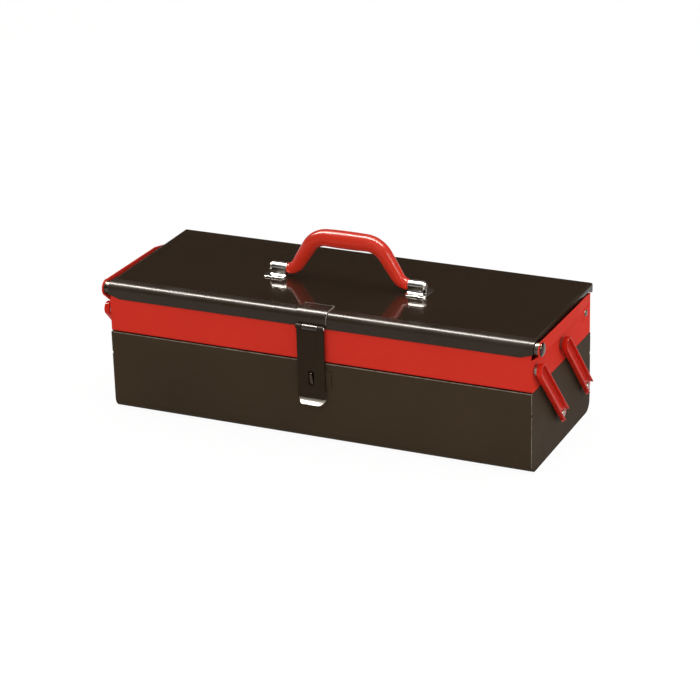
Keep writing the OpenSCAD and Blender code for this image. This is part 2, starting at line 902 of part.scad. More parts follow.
// Middle line of the grip from its right end to its left, as [x, z, heading]
bend_steps = 7;
grip_half = concat(
    [[grip_end, rod_axis, 180]],
    [for (i = [0:bend_steps]) let (a = 270 - leg_a * i / bend_steps)
        [lower_x + lower_bend * cos(a), rod_axis + lower_bend * (1 + sin(a)), a - 90]],
    [for (i = [0:bend_steps]) let (a = 90 - leg_a + leg_a * i / bend_steps)
        [upper_x + upper_bend * cos(a),
            rod_axis + grip_rise + upper_bend * (sin(a) - 1), a + 90]],
    [[upper_x / 2, rod_axis + grip_rise, 180]]);
grip_n = len(grip_half);
grip_line = concat(grip_half, [[0, rod_axis + grip_rise, 180]],
    [for (i = [grip_n - 1:-1:0]) [-grip_half[i][0], grip_half[i][1], 360 - grip_half[i][2]]]);
grip_last = len(grip_line) - 1;
function grip_r(x) = grip_end_r
    + (grip_mid_r - grip_end_r) * pow(max(0, cos(90 * x / grip_end)), 0.8);

// Rings of one skin of the grip, either its outside or its bore
grip_sides = 20;
function ring(p, r, n) = [for (k = [0:n - 1]) let (a = 360 * k / n)
    [p[0] + r * cos(a) * cos(p[2] + 90), handle_y + r * sin(a),
        p[1] + r * cos(a) * sin(p[2] + 90)]];

// A bent round bar: rings of one radius each along a line of [x, z, heading]
module bent_bar(line, radii, n) {
    last = len(line) - 1;
    points = [for (i = [0:last]) each ring(line[i], radii[i], n)];
    walls = [for (i = [0:last - 1]) for (k = [0:n - 1]) let (j = (k + 1) % n)
        for (t = [[i * n + k, i * n + j, (i + 1) * n + j],
            [i * n + k, (i + 1) * n + j, (i + 1) * n + k]]) t];
    first = [for (k = [1:n - 2]) [0, k + 1, k]];
    last_cap = [for (k = [1:n - 2]) [0, k, k + 1] + last * n * [1, 1, 1]];
    polyhedron(points = points, faces = concat(walls, first, last_cap));
}

// Steel rod: true round ends in the brackets, a bent core inside the grip
module handle_rod() {
    core = [for (i = [1:grip_last - 1]) grip_line[i]];
    color(steel) {
        bent_bar(core, [for (p = core) rod_r - weld_gap], 14);
        for (s = [-1, 1])
            on_side(s)
                bar_x(rod_r, lower_x - 0.5, rod_end, handle_y, rod_axis);
    }
}

module handle_grip() {
    bore = (rod_r + weld_gap) / cos(180 / grip_sides);
    n = grip_sides;
    rings = grip_last + 1;
    outer = [for (p = grip_line) each ring(p, grip_r(p[0]), n)];
    inner = [for (p = grip_line) each ring(p, bore, n)];
    walls = [for (i = [0:grip_last - 1]) for (k = [0:n - 1]) let (j = (k + 1) % n)
        for (t = [[i * n + k, i * n + j, (i + 1) * n + j],
            [i * n + k, (i + 1) * n + j, (i + 1) * n + k]]) t];
    bores = [for (t = walls) [t[2], t[1], t[0]] + rings * n * [1, 1, 1]];
    first = [for (k = [0:n - 1]) let (j = (k + 1) % n, b = rings * n)
        for (t = [[k, b + k, b + j], [k, b + j, j]]) t];
    last = [for (t = first) [t[2], t[1], t[0]] + grip_last * n * [1, 1, 1]];
    color(red)
        polyhedron(points = concat(outer, inner), faces = concat(walls, bores, first, last));
}

base_shell();
base_end(-1);  // base_end_left
base_end(1);  // base_end_right
keeper_plate();
keeper_rivets();
staple();
base_rivets(-1);  // base_rivets_left
base_rivets(1);  // base_rivets_right
spacers(-1, base_pivots, arm_base_z);  // base_spacers_left
spacers(1, base_pivots, arm_base_z);  // base_spacers_right
arm(-1, base_pivots[0]);  // front_arm_left
arm(1, base_pivots[0]);  // front_arm_right
arm(-1, base_pivots[1]);  // rear_arm_left
arm(1, base_pivots[1]);  // rear_arm_right
tray_shell();
tray_end(-1);  // tray_end_left
tray_end(1);  // tray_end_right
tray_rivets(-1);  // tray_rivets_left
tray_rivets(1);  // tray_rivets_right
spacers(-1, tray_pivots, arm_top_z);  // tray_spacers_left
spacers(1, tray_pivots, arm_top_z);  // tray_spacers_right
catch_stud(-1);  // catch_stud_left
catch_stud(1);  // catch_stud_right
stud_washers(-1);  // stud_washers_left
stud_washers(1);  // stud_washers_right
lid_pivot(-1);  // lid_pivot_left
lid_pivot(1);  // lid_pivot_right
lid_panel();
hinge_lug(-1);  // hinge_lug_left
hinge_lug(1);  // hinge_lug_right
hasp_leaf();
hasp_pin();
hasp_plate();
hasp_lip();
bracket(-1);  // bracket_left
bracket(1);  // bracket_right
bracket_rivets();
handle_rod();
handle_grip();
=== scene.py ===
# Dresses the cantilever tool box: bent and hemmed sheet, channel arms, hasp, handle and finishes.
# Sizes are in millimetres, as in the part's source, and become metres in the meshes.
import math
import bmesh
import bpy
from mathutils import Matrix, Vector


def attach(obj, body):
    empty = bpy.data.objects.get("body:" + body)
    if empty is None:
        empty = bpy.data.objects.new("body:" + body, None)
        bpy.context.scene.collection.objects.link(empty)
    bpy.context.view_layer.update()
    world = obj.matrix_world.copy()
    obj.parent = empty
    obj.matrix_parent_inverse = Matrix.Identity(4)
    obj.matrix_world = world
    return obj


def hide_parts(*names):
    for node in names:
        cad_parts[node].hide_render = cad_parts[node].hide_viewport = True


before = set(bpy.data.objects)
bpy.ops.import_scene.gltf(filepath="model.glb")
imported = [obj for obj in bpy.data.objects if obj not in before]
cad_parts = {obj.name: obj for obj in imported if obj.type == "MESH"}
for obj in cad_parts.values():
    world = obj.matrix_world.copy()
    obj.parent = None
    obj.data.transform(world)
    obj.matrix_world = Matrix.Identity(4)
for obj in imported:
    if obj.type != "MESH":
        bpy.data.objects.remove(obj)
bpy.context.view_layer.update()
scene = bpy.context.scene
scene.view_settings.view_transform = "Standard"
MM = 0.001
SIDES = ((-1, "left"), (1, "right"))

# ---- sizes of the box ------------------------------------------------------------

SHEET, HEM_R = 0.97, 1.0
END_X, FRONT, REAR, BASE_H = 225.0, -84.0, 84.0, 84.0
BASE_BEND, BASE_HEM, NOTCH_Z, NOTCH_R = 11.0, 8.0, 61.5, 1.4
TRAY_Z, TRAY_TOP, TRAY_FRONT, TRAY_REAR = 84.3, 126.3, -82.5, 82.5
SKIRT_Z, LID_Z, LID_X, LID_REAR, SIDE_LOW = 126.6, 135.6, 226.4, 87.0, 130.6
ROLL_Y, ROLL_Z, ROLL_R = -76.5, 128.1, 7.5
FLANGE_Z, FRONT_TOP, SLANT_L, SLANT_H = 120.1, 124.1, 13.0, 4.0
LID_EDGE, LID_SHEET, TRAY_BEND, TRAY_HEM = 2.0, 1.0, 2.0, 6.0
FLARE_OUT, FLARE_Z, FLARE_RISE, FLARE_BACK, FLARE_TOP = 7.4, 117.0, 5.0, 28.0, 134.5
EAR_R, EAR_BACK, EAR_ARC = 8.5, -66.5, (71.5, 225.1)
WELD_Y, WELD_LOW, WELD_TOP, WELD_R, WELD_T, WELD_X = 81.4, 85.4, 108.0, 1.0, 0.5, (215.0, 224.2)
HINGE_Y, HINGE_Z, STOP_DIST, STOP_R = 69.0, 109.5, 10.0, 2.2
STOP_DEPTH, STOP_FADE = 0.75, 0.4
STOP_ANGLES = (44.95, 207.39)
BASE_PIVOTS, BASE_PIVOT_Z = (-7.5, 64.0), 34.0
TRAY_PIVOTS, TRAY_PIVOT_Z = (-73.5, -2.0), 105.0
ARM_X, ARM_W, ARM_TAIL, ARM_T, ARM_WALL, ARM_CUT = 228.1, 14.0, 8.0, 1.2, 5.6, -1.35
ARM_CORNER = 3.0
ARM_FACE, INNER_X = ARM_X + ARM_T + 0.05, END_X - 0.9
ARM_LEN, ARM_TILT = math.hypot(66, 71), math.atan2(66, 71)
HASP_X, HASP_W, LEAF_W, LEAF_T, LEAF_FLAT = -2.0, 29.0, 32.0, 1.2, 13.0
PIN_Y, PIN_Z, PIN_R, KNUCKLE_R, MIDDLE_KNUCKLE = -87.2, 121.0, 1.5, 2.9, 16.4
LIP_Y, LIP_Z, LIP_BEND, LIP_TURN, LIP_TAPER, LIP_CORNER = -91.25, 47.5, 6.0, 62.0, 4.0, 2.6
LIP_STRAIGHT, LIP_NARROW = 8.0, 7.5
KEEPER_RIVETS_X, KEEPER_RIVETS_Z = (HASP_X - 8.45, HASP_X + 11.05), 67.0
ROD_Z, BARREL_L, BARREL_R = 143.6, 16.0, 4.88
FOOT_T, FOOT_L, FOOT_W, FOOT_CORNER, STRAP_T, STRAP_FLARE = 1.4, 23.0, 25.0, 4.0, 1.55, 2.2
GRIP_END_R, GRIP_MIDDLE_R, PART_LINE_W, PART_LINE_H = 5.2, 9.1, 0.35, 0.10
GRIP_LOW, GRIP_HIGH, GRIP_RISE, LOW_BEND, HIGH_BEND = 57.8, 34.2, 37.5, 12.0, 24.0
LEG = math.atan2(GRIP_RISE, GRIP_LOW - GRIP_HIGH)
LOW_X = GRIP_LOW + LOW_BEND * math.tan(LEG / 2)
HIGH_X = GRIP_HIGH - HIGH_BEND * math.tan(LEG / 2)
GRIP_END = LOW_X + 0.8
BARREL_X = GRIP_END + 1.2


# ---- camera, lamps and room, in metres -------------------------------------------

ROOM_LIGHT, FLOOR_WHITE, FLOOR_REACH = 0.66, 0.90, 12.0
CURTAIN_R, CURTAIN_LOW, CURTAIN_H = 3.4, 0.25, 3.0
WARM = (1, 0.94, 0.87)


def photo_camera():
    """The camera solved from the photograph's own perspective."""
    azimuth, height, roll = (math.radians(a) for a in (24.60, 22.53, -1.51))
    back = Vector((math.sin(azimuth) * math.cos(height),
                   -math.cos(azimuth) * math.cos(height), math.sin(height)))
    level = (-back).cross(Vector((0, 0, 1))).normalized()
    rise = level.cross(-back)
    right = level * math.cos(roll) + rise * math.sin(roll)
    up = rise * math.cos(roll) - level * math.sin(roll)
    lens = bpy.data.cameras.new("photo_camera")
    lens.lens, lens.sensor_width = 132.72, 36.0
    camera = bpy.data.objects.new("photo_camera", lens)
    scene.collection.objects.link(camera)
    turned = Matrix((right, up, back)).transposed().to_4x4()
    camera.matrix_world = Matrix.Translation((0.9959, -2.1749, 1.0562)) @ turned
    scene.camera = camera


def made(tree, *kinds):
    """New nodes of these kinds."""
    return [tree.nodes.new(kind) for kind in kinds]


def joined(tree, links):
    """Links pairs of (node, socket) to (node, socket) in one go."""
    for (a, out), (b, into) in links:
        tree.links.new(a.outputs[out], b.inputs[into])


def seen_plainly(tree):
    """1 for camera, glossy and transmission rays, which see a white background."""
    path = tree.nodes.new("ShaderNodeLightPath")
    first = tree.nodes.new("ShaderNodeMath")
    both = tree.nodes.new("ShaderNodeMath")
    first.operation = both.operation = "MAXIMUM"
    joined(tree, [((path, "Is Camera Ray"), (first, 0)), ((path, "Is Glossy Ray"), (first, 1)),
                  ((first, 0), (both, 0)), ((path, "Is Transmission Ray"), (both, 1))])
    return both


def lamp(name, place, aim, width, depth, power, tint=(1, 1, 1), only_gloss=False):
    """A rectangle of light: its width lies level, its depth follows from where it looks."""
    data = bpy.data.lights.new(name, "AREA")
    data.shape, data.size, data.size_y = "RECTANGLE", width, depth
    data.energy, data.color = power, tint
    light = bpy.data.objects.new(name, data)
    scene.collection.objects.link(light)
    back = (Vector(place) - Vector(aim)).normalized()
    side = Vector((0, 0, 1)).cross(back)
    side = side.normalized() if side.length > 0.05 else Vector((1, 0, 0))
    turned = Matrix((side, back.cross(side), back)).transposed().to_4x4()
    light.matrix_world = Matrix.Translation(place) @ turned
    light.visible_diffuse = not only_gloss


def studio():
    """White room with a faint floor shadow, a dark curtain that only gloss sees, and lamps."""
    world = bpy.data.worlds.new("room")
    scene.world = world
    world.use_nodes = True
    tree = world.node_tree
    tree.nodes.clear()
    fill, white = (tree.nodes.new("ShaderNodeBackground") for _ in range(2))
    fill.inputs["Color"].default_value = (1.0, 0.985, 0.965, 1)
    fill.inputs["Strength"].default_value = ROOM_LIGHT
    white.inputs["Color"].default_value = (1, 1, 1, 1)
    white.inputs["Strength"].default_value = 1.0
    mix, out = made(tree, "ShaderNodeMixShader", "ShaderNodeOutputWorld")
    joined(tree, [((seen_plainly(tree), 0), (mix, 0)), ((fill, 0), (mix, 1)),
                  ((white, 0), (mix, 2)), ((mix, 0), (out, 0))])

    floor_mat = bpy.data.materials.new("floor_white")
    floor_mat.use_nodes = True
    tree = floor_mat.node_tree
    tree.nodes.clear()
    matt, glow = made(tree, "ShaderNodeBsdfDiffuse", "ShaderNodeEmission")
    matt.inputs["Color"].default_value = (0.8, 0.79, 0.78, 1)
    part = tree.nodes.new("ShaderNodeMath")
    part.operation = "MULTIPLY"
    part.inputs[1].default_value = FLOOR_WHITE
    glow.inputs["Color"].default_value = (1, 1, 1, 1)
    glow.inputs["Strength"].default_value = 1.04
    mix, out = made(tree, "ShaderNodeMixShader", "ShaderNodeOutputMaterial")
    joined(tree, [((seen_plainly(tree), 0), (part, 0)), ((part, 0), (mix, 0)),
                  ((matt, 0), (mix, 1)), ((glow, 0), (mix, 2)), ((mix, 0), (out, 0))])
    bm = bmesh.new()
    bmesh.ops.create_grid(bm, x_segments=1, y_segments=1, size=FLOOR_REACH)
    floor = plain_object("floor", bm, floor_mat)

    curtain_mat = bpy.data.materials.new("dark_curtain")
    curtain_mat.use_nodes = True
    cloth = curtain_mat.node_tree.nodes["Principled BSDF"]
    cloth.inputs["Base Color"].default_value = (0.05, 0.04, 0.032, 1)
    cloth.inputs["Roughness"].default_value = 1.0
    cloth.inputs["Specular IOR Level"].default_value = 0.0
    bm = bmesh.new()
    bmesh.ops.create_cone(bm, cap_ends=False, segments=96, radius1=CURTAIN_R, radius2=CURTAIN_R,
                          depth=CURTAIN_H)
    bmesh.ops.translate(bm, vec=(0, 0, CURTAIN_LOW + CURTAIN_H / 2), verts=bm.verts)
    curtain = plain_object("curtain", bm, curtain_mat)
    curtain.visible_camera = curtain.visible_diffuse = curtain.visible_shadow = False
    curtain.visible_transmission = curtain.visible_volume_scatter = False

    lamp("roll_strip", (-0.55, 0.10, 1.45), (-0.55, 0.10, 0), 3.0, 0.40, 330, WARM, only_gloss=True)
    lamp("side_strip", (1.76, -0.66, 0.98), (0.04, 0, 0.16), 0.22, 0.6, 26, WARM, only_gloss=True)
    lamp("soft_top", (0.1, 0.3, 1.9), (0, 0, 0.08), 1.2, 1.6, 9)
    lamp("front_soft", (0.3, -2.2, 1.5), (0, 0, 0.05), 1.8, 1.2, 14)
    lamp("right_side", (2.0, 0.1, 1.0), (0.2, 0, 0.05), 1.0, 0.9, 9)


# ---- meshes ----------------------------------------------------------------------

def plain_object(name, bm, finish, smooth=None):
    mesh = bpy.data.meshes.new(name)
    bm.to_mesh(mesh)
    bm.free()
    mesh.materials.append(finish)
    if smooth is not None:
        mesh.shade_smooth()
        mesh.set_sharp_from_angle(angle=math.radians(smooth))
    thing = bpy.data.objects.new(name, mesh)
    scene.collection.objects.link(thing)
    return thing


def to_metres(bm):
    bmesh.ops.scale(bm, vec=(MM, MM, MM), verts=bm.verts)


def mirrored(bm):
    bmesh.ops.scale(bm, vec=(-1, 1, 1), verts=bm.verts)
    bmesh.ops.reverse_faces(bm, faces=bm.faces)


def added(bm, other):
    """Puts another bmesh into this one."""
    spare = bpy.data.meshes.new("spare")
    other.to_mesh(spare)
    other.free()
    bm.from_mesh(spare)
    bpy.data.meshes.remove(spare)


def sliced(bm, point, way, **options):
    """Cuts new edges along one plane."""
    geom = bm.verts[:] + bm.edges[:] + bm.faces[:]
    bmesh.ops.bisect_plane(bm, geom=geom, dist=1e-4, plane_co=point, plane_no=way, **options)


def settled(thing):
    """Turns live modifiers into plain mesh and takes them off."""
    view = bpy.context.evaluated_depsgraph_get()
    mesh = bpy.data.meshes.new_from_object(thing.evaluated_get(view))
    thing.modifiers.clear()
    thing.data = mesh
    return thing


def placed(thing, body, slot, *nodes):
    """Says which body carries a piece and which nodes it stands for; the slot argument is not used.
    """
    if nodes:
        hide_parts(*nodes)
    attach(thing, body)
    return thing


def softened(thing, width, segments=3, angle=35):
    bevel = thing.modifiers.new("soft_edges", "BEVEL")
    bevel.width, bevel.segments = width * MM, segments
    bevel.limit_method, bevel.angle_limit = "ANGLE", math.radians(angle)
    bevel.miter_outer = "MITER_ARC"
    return thing


def evened(thing, sharp=40):
    """Keeps wide flat faces flat, so that only the soft edges turn the light."""
    thing.data.shade_smooth()
    thing.data.set_sharp_from_angle(angle=math.radians(sharp))
    even = thing.modifiers.new("even", "WEIGHTED_NORMAL")
    even.keep_sharp, even.weight = True, 90
    return settled(thing)


def from_cad(node, finish, body, slot, edge=0.25):
    """A copy of a CAD node, merged and cleaned, with every edge softly broken."""
    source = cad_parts[node]
    bm = bmesh.new()
    bm.from_mesh(source.data)
    bm.transform(source.matrix_world)
    bmesh.ops.remove_doubles(bm, verts=bm.verts, dist=2e-6)
    bmesh.ops.dissolve_limit(bm, angle_limit=math.radians(0.4), verts=bm.verts, edges=bm.edges)
    bmesh.ops.recalc_face_normals(bm, faces=bm.faces)
    thing = plain_object(node + "_dressed", bm, finish, 32)
    softened(thing, edge)
    settled(thing)
    evened(thing)
    return placed(thing, body, slot, node)


def arc(cy, cz, r, start, end, steps=10):
    return [(cy + r * math.cos(math.radians(start + (end - start) * i / steps)),
             cz + r * math.sin(math.radians(start + (end - start) * i / steps)))
            for i in range(steps + 1)]


def sheet_section(path, thick):
    """Closed outline of a bent sheet: the path is its outer face, the metal lies to the left."""
    clean = [path[0]]
    for p in path[1:]:
        if math.dist(p, clean[-1]) > 1e-4:
            clean.append(p)
    inner = []
    for i, (y, z) in enumerate(clean):
        ways = []
        if i > 0:
            ways.append((y - clean[i - 1][0], z - clean[i - 1][1]))
        if i < len(clean) - 1:
            ways.append((clean[i + 1][0] - y, clean[i + 1][1] - z))
        sides = [(-b / math.hypot(a, b), a / math.hypot(a, b)) for a, b in ways]
        ny, nz = sum(s[0] for s in sides) / len(sides), sum(s[1] for s in sides) / len(sides)
        size = ny * ny + nz * nz
        inner.append((y + ny * thick / size, z + nz * thick / size))
    return clean + inner[::-1]


def input_id(tree, label):
    """A modifier input is set by its socket's identifier, not by its name."""
    return next(s.identifier for s in tree.interface.items_tree
                if s.name == label and s.in_out == "INPUT")


def new_tree(name, inputs):
    tree = bpy.data.node_groups.new(name, "GeometryNodeTree")
    tree.interface.new_socket("Geometry", in_out="INPUT", socket_type="NodeSocketGeometry")
    for label, kind in inputs:
        tree.interface.new_socket(label, in_out="INPUT", socket_type=kind)
    tree.interface.new_socket("Geometry", in_out="OUTPUT", socket_type="NodeSocketGeometry")
    return tree, tree.nodes.new("NodeGroupInput"), tree.nodes.new("NodeGroupOutput")


def run_tree(name, bm, tree, values):
    """Runs a tree on a start mesh and keeps the plain mesh that comes out."""
    mesh = bpy.data.meshes.new(name)
    bm.to_mesh(mesh)
    bm.free()
    for label in ("aim", "thick"):
        if label in values:
            rows = values.pop(label)
            kind = "FLOAT_VECTOR" if label == "aim" else "FLOAT"
            layer = mesh.attributes.new(label, kind, "POINT")
            for i, row in enumerate(rows):
                if kind == "FLOAT":
                    layer.data[i].value = row
                else:
                    layer.data[i].vector = row
    thing = bpy.data.objects.new(name, mesh)
    scene.collection.objects.link(thing)
    maker = thing.modifiers.new("maker", "NODES")
    maker.node_group = tree
    for label, value in values.items():
        maker[input_id(tree, label)] = value
    return settled(thing)


def drawn_sheet_tree():
    """Draws a section, one flat face, out along X into a closed length of sheet."""
    tree, given, result = new_tree("drawn_sheet", [
        ("Length", "NodeSocketFloat"), ("Finish", "NodeSocketMaterial")])
    pull, flip = made(tree, "GeometryNodeExtrudeMesh", "GeometryNodeFlipFaces")
    pull.mode = "FACES"
    pull.inputs["Individual"].default_value = False
    way, both = made(tree, "ShaderNodeCombineXYZ", "GeometryNodeJoinGeometry")
    weld = tree.nodes.new("GeometryNodeMergeByDistance")
    weld.inputs["Distance"].default_value = 1e-6
    real, coat = made(tree, "GeometryNodeRealizeInstances", "GeometryNodeSetMaterial")
    joined(tree, [((given, "Geometry"), (pull, "Mesh")), ((given, "Length"), (way, "X")),
                  ((way, 0), (pull, "Offset")), ((given, "Geometry"), (flip, 0)),
                  ((pull, "Mesh"), (both, 0)), ((flip, 0), (both, 0)), ((both, 0), (weld, 0)),
                  ((weld, 0), (real, 0)), ((real, 0), (coat, "Geometry")),
                  ((given, "Finish"), (coat, "Material")), ((coat, 0), (result, 0))])
    return tree


def rivet_tree():
    """Sets a domed head on every point, turned to the point's own aim."""
    tree, given, result = new_tree("domed_rivets", [
        ("Head Radius", "NodeSocketFloat"), ("Head Height", "NodeSocketFloat"),
        ("Finish", "NodeSocketMaterial")])
    ball = tree.nodes.new("GeometryNodeMeshUVSphere")
    ball.inputs["Segments"].default_value = 32
    ball.inputs["Rings"].default_value = 16
    where, apart = made(tree, "GeometryNodeInputPosition", "ShaderNodeSeparateXYZ")
    flat, back = made(tree, "ShaderNodeMath", "ShaderNodeCombineXYZ")
    flat.operation = "MAXIMUM"
    flat.inputs[1].default_value = -0.12
    press, scale = made(tree, "GeometryNodeSetPosition", "GeometryNodeTransform")
    grow, turn = made(tree, "ShaderNodeCombineXYZ", "FunctionNodeAlignRotationToVector")
    turn.axis = "Z"
    aim = tree.nodes.new("GeometryNodeInputNamedAttribute")
    aim.data_type = "FLOAT_VECTOR"
    aim.inputs["Name"].default_value = "aim"
    sow, real = made(tree, "GeometryNodeInstanceOnPoints", "GeometryNodeRealizeInstances")
    even, coat = made(tree, "GeometryNodeSetShadeSmooth", "GeometryNodeSetMaterial")
    joined(tree, [((where, 0), (apart, 0)), ((apart, "Z"), (flat, 0)), ((apart, "X"), (back, "X")),
                  ((apart, "Y"), (back, "Y")), ((flat, 0), (back, "Z")),
                  ((ball, "Mesh"), (press, "Geometry")),
                  ((back, 0), (press, "Position")), ((press, 0), (scale, "Geometry")),
                  ((given, "Head Radius"), (grow, "X")), ((given, "Head Radius"), (grow, "Y")),
                  ((given, "Head Height"), (grow, "Z")), ((grow, 0), (scale, "Scale")),
                  ((given, "Geometry"), (sow, "Points")), ((scale, 0), (sow, "Instance")),
                  ((aim, 0), (turn, "Vector")), ((turn, 0), (sow, "Rotation")),
                  ((sow, 0), (real, 0)), ((real, 0), (even, 0)), ((even, 0), (coat, "Geometry")),
                  ((given, "Finish"), (coat, "Material")), ((coat, 0), (result, 0))])
    return tree


def grip_tree():
    """Skins the grip round its bent middle line, as thick at each point as the line says."""
    tree, given, result = new_tree("moulded_grip", [
        ("Sides", "NodeSocketInt"), ("Finish", "NodeSocketMaterial")])
    line = tree.nodes.new("GeometryNodeMeshToCurve")
    thick = tree.nodes.new("GeometryNodeInputNamedAttribute")
    thick.data_type = "FLOAT"
    thick.inputs["Name"].default_value = "thick"
    ring, skin = made(tree, "GeometryNodeCurvePrimitiveCircle", "GeometryNodeCurveToMesh")
    ring.inputs["Radius"].default_value = 1.0
    skin.inputs["Fill Caps"].default_value = True
    real, even = made(tree, "GeometryNodeRealizeInstances", "GeometryNodeSetShadeSmooth")
    coat = tree.nodes.new("GeometryNodeSetMaterial")
    joined(tree, [((given, "Geometry"), (line, 0)), ((line, 0), (skin, "Curve")),
                  ((thick, 0), (skin, "Scale")), ((given, "Sides"), (ring, "Resolution")),
                  ((ring, 0), (skin, "Profile Curve")), ((skin, 0), (real, 0)),
                  ((real, 0), (even, 0)),
                  ((even, 0), (coat, "Geometry")), ((given, "Finish"), (coat, "Material")),
                  ((coat, 0), (result, 0))])
    return tree


def drawn(name, outline, x0, x1, finish):
    """A length of sheet with this section, as a bmesh in millimetres."""
    bm = bmesh.new()
    bm.faces.new([bm.verts.new((x0, y, z)) for y, z in outline])
    thing = run_tree(name, bm, SHEET_TREE, {"Length": x1 - x0, "Finish": finish})
    out = bmesh.new()
    out.from_mesh(thing.data)
    bpy.data.objects.remove(thing)
    bmesh.ops.recalc_face_normals(out, faces=out.faces)
    return out


def finished(name, bm, finish, edge=0.0, smooth=32):
    """From a bmesh in millimetres to a piece in metres with soft edges."""
    bmesh.ops.recalc_face_normals(bm, faces=bm.faces)
    to_metres(bm)
    thing = plain_object(name, bm, finish, smooth)
    if edge:
        settled(softened(thing, edge))
        evened(thing)
    return thing


def spun(profile, y, z, steps=48):
    """A turned piece about an axis along X; the profile is [x, radius] from end to end."""
    bm = bmesh.new()
    rows = [[bm.verts.new((x, y + r * math.cos(2 * math.pi * k / steps),
                           z + r * math.sin(2 * math.pi * k / steps))) for k in range(steps)]
            for x, r in profile]
    for a, b in zip(rows, rows[1:]):
        for k in range(steps):
            j = (k + 1) % steps
            bm.faces.new((a[k], a[j], b[j], b[k]))
    bm.faces.new(rows[0][::-1])
    bm.faces.new(rows[-1])
    bmesh.ops.remove_doubles(bm, verts=bm.verts, dist=1e-4)
    bmesh.ops.recalc_face_normals(bm, faces=bm.faces)
    return bm


def dome(x, r, h, steps=8):
    """Profile points of a domed end that stands on x and closes on the axis."""
    turns = [math.pi / 2 * i / steps for i in range(steps + 1)]
    return [(x + h * math.sin(a), max(0.02, r * math.cos(a))) for a in turns]


def heads(name, places, aims, size, finish):
    """Rivet heads of one (radius, height), made by the rivet tree, as a bmesh in millimetres."""
    bm = bmesh.new()
    for p in places:
        bm.verts.new(p)
    thing = run_tree(name, bm, RIVET_TREE, {"Head Radius": size[0], "Head Height": size[1],
                                            "Finish": finish, "aim": aims})
    out = bmesh.new()
    out.from_mesh(thing.data)
    bpy.data.objects.remove(thing)
    return out


# ---- finishes --------------------------------------------------------------------

def mask_box(tree, place, low, high, soft):
    """1 inside a box of the object, 0 outside, with a soft border; all in millimetres."""
    middle = [(a + b) / 2 * MM for a, b in zip(low, high)]
    half = [(b - a) / 2 * MM for a, b in zip(low, high)]
    off, size, less = (tree.nodes.new("ShaderNodeVectorMath") for _ in range(3))
    off.operation, size.operation, less.operation = "SUBTRACT", "ABSOLUTE", "SUBTRACT"
    off.inputs[1].default_value = middle
    less.inputs[1].default_value = half
    apart = tree.nodes.new("ShaderNodeSeparateXYZ")
    a, b = (tree.nodes.new("ShaderNodeMath") for _ in range(2))
    a.operation = b.operation = "MAXIMUM"
    fade = tree.nodes.new("ShaderNodeMapRange")
    fade.inputs["From Min"].default_value = 0.0
    fade.inputs["From Max"].default_value = -soft * MM
    joined(tree, [((place, "Object"), (off, 0)), ((off, 0), (size, 0)), ((size, 0), (less, 0)),
                  ((less, 0), (apart, 0)), ((apart, "X"), (a, 0)), ((apart, "Y"), (a, 1)),
                  ((a, 0), (b, 0)), ((apart, "Z"), (b, 1)), ((b, 0), (fade, "Value"))])
    return fade


def noise(tree, place, scale, detail=3.0, stretch=None):
    grain = tree.nodes.new("ShaderNodeTexNoise")
    grain.inputs["Scale"].default_value = scale
    grain.inputs["Detail"].default_value = detail
    if stretch:
        squeeze = tree.nodes.new("ShaderNodeMapping")
        squeeze.inputs["Scale"].default_value = stretch
        joined(tree, [((place, "Object"), (squeeze, 0)), ((squeeze, 0), (grain, "Vector"))])
    else:
        joined(tree, [((place, "Object"), (grain, "Vector"))])
    return grain


def ranged(tree, source, low, high, new_low, new_high):
    fit = tree.nodes.new("ShaderNodeMapRange")
    for key, value in (("From Min", low), ("From Max", high),
                       ("To Min", new_low), ("To Max", new_high)):
        fit.inputs[key].default_value = value
    joined(tree, [((source, 0), (fit, "Value"))])
    return fit


def blended(tree, factor, a, b):
    """Mixes two colours; each is an output socket or a plain colour."""
    mix = tree.nodes.new("ShaderNodeMix")
    mix.data_type = "RGBA"
    joined(tree, [((factor, 0), (mix, 0))])
    for socket, colour in ((6, a), (7, b)):
        if isinstance(colour, tuple):
            mix.inputs[socket].default_value = (*colour, 1)
        else:
            tree.links.new(colour, mix.inputs[socket])
    return mix.outputs[2]


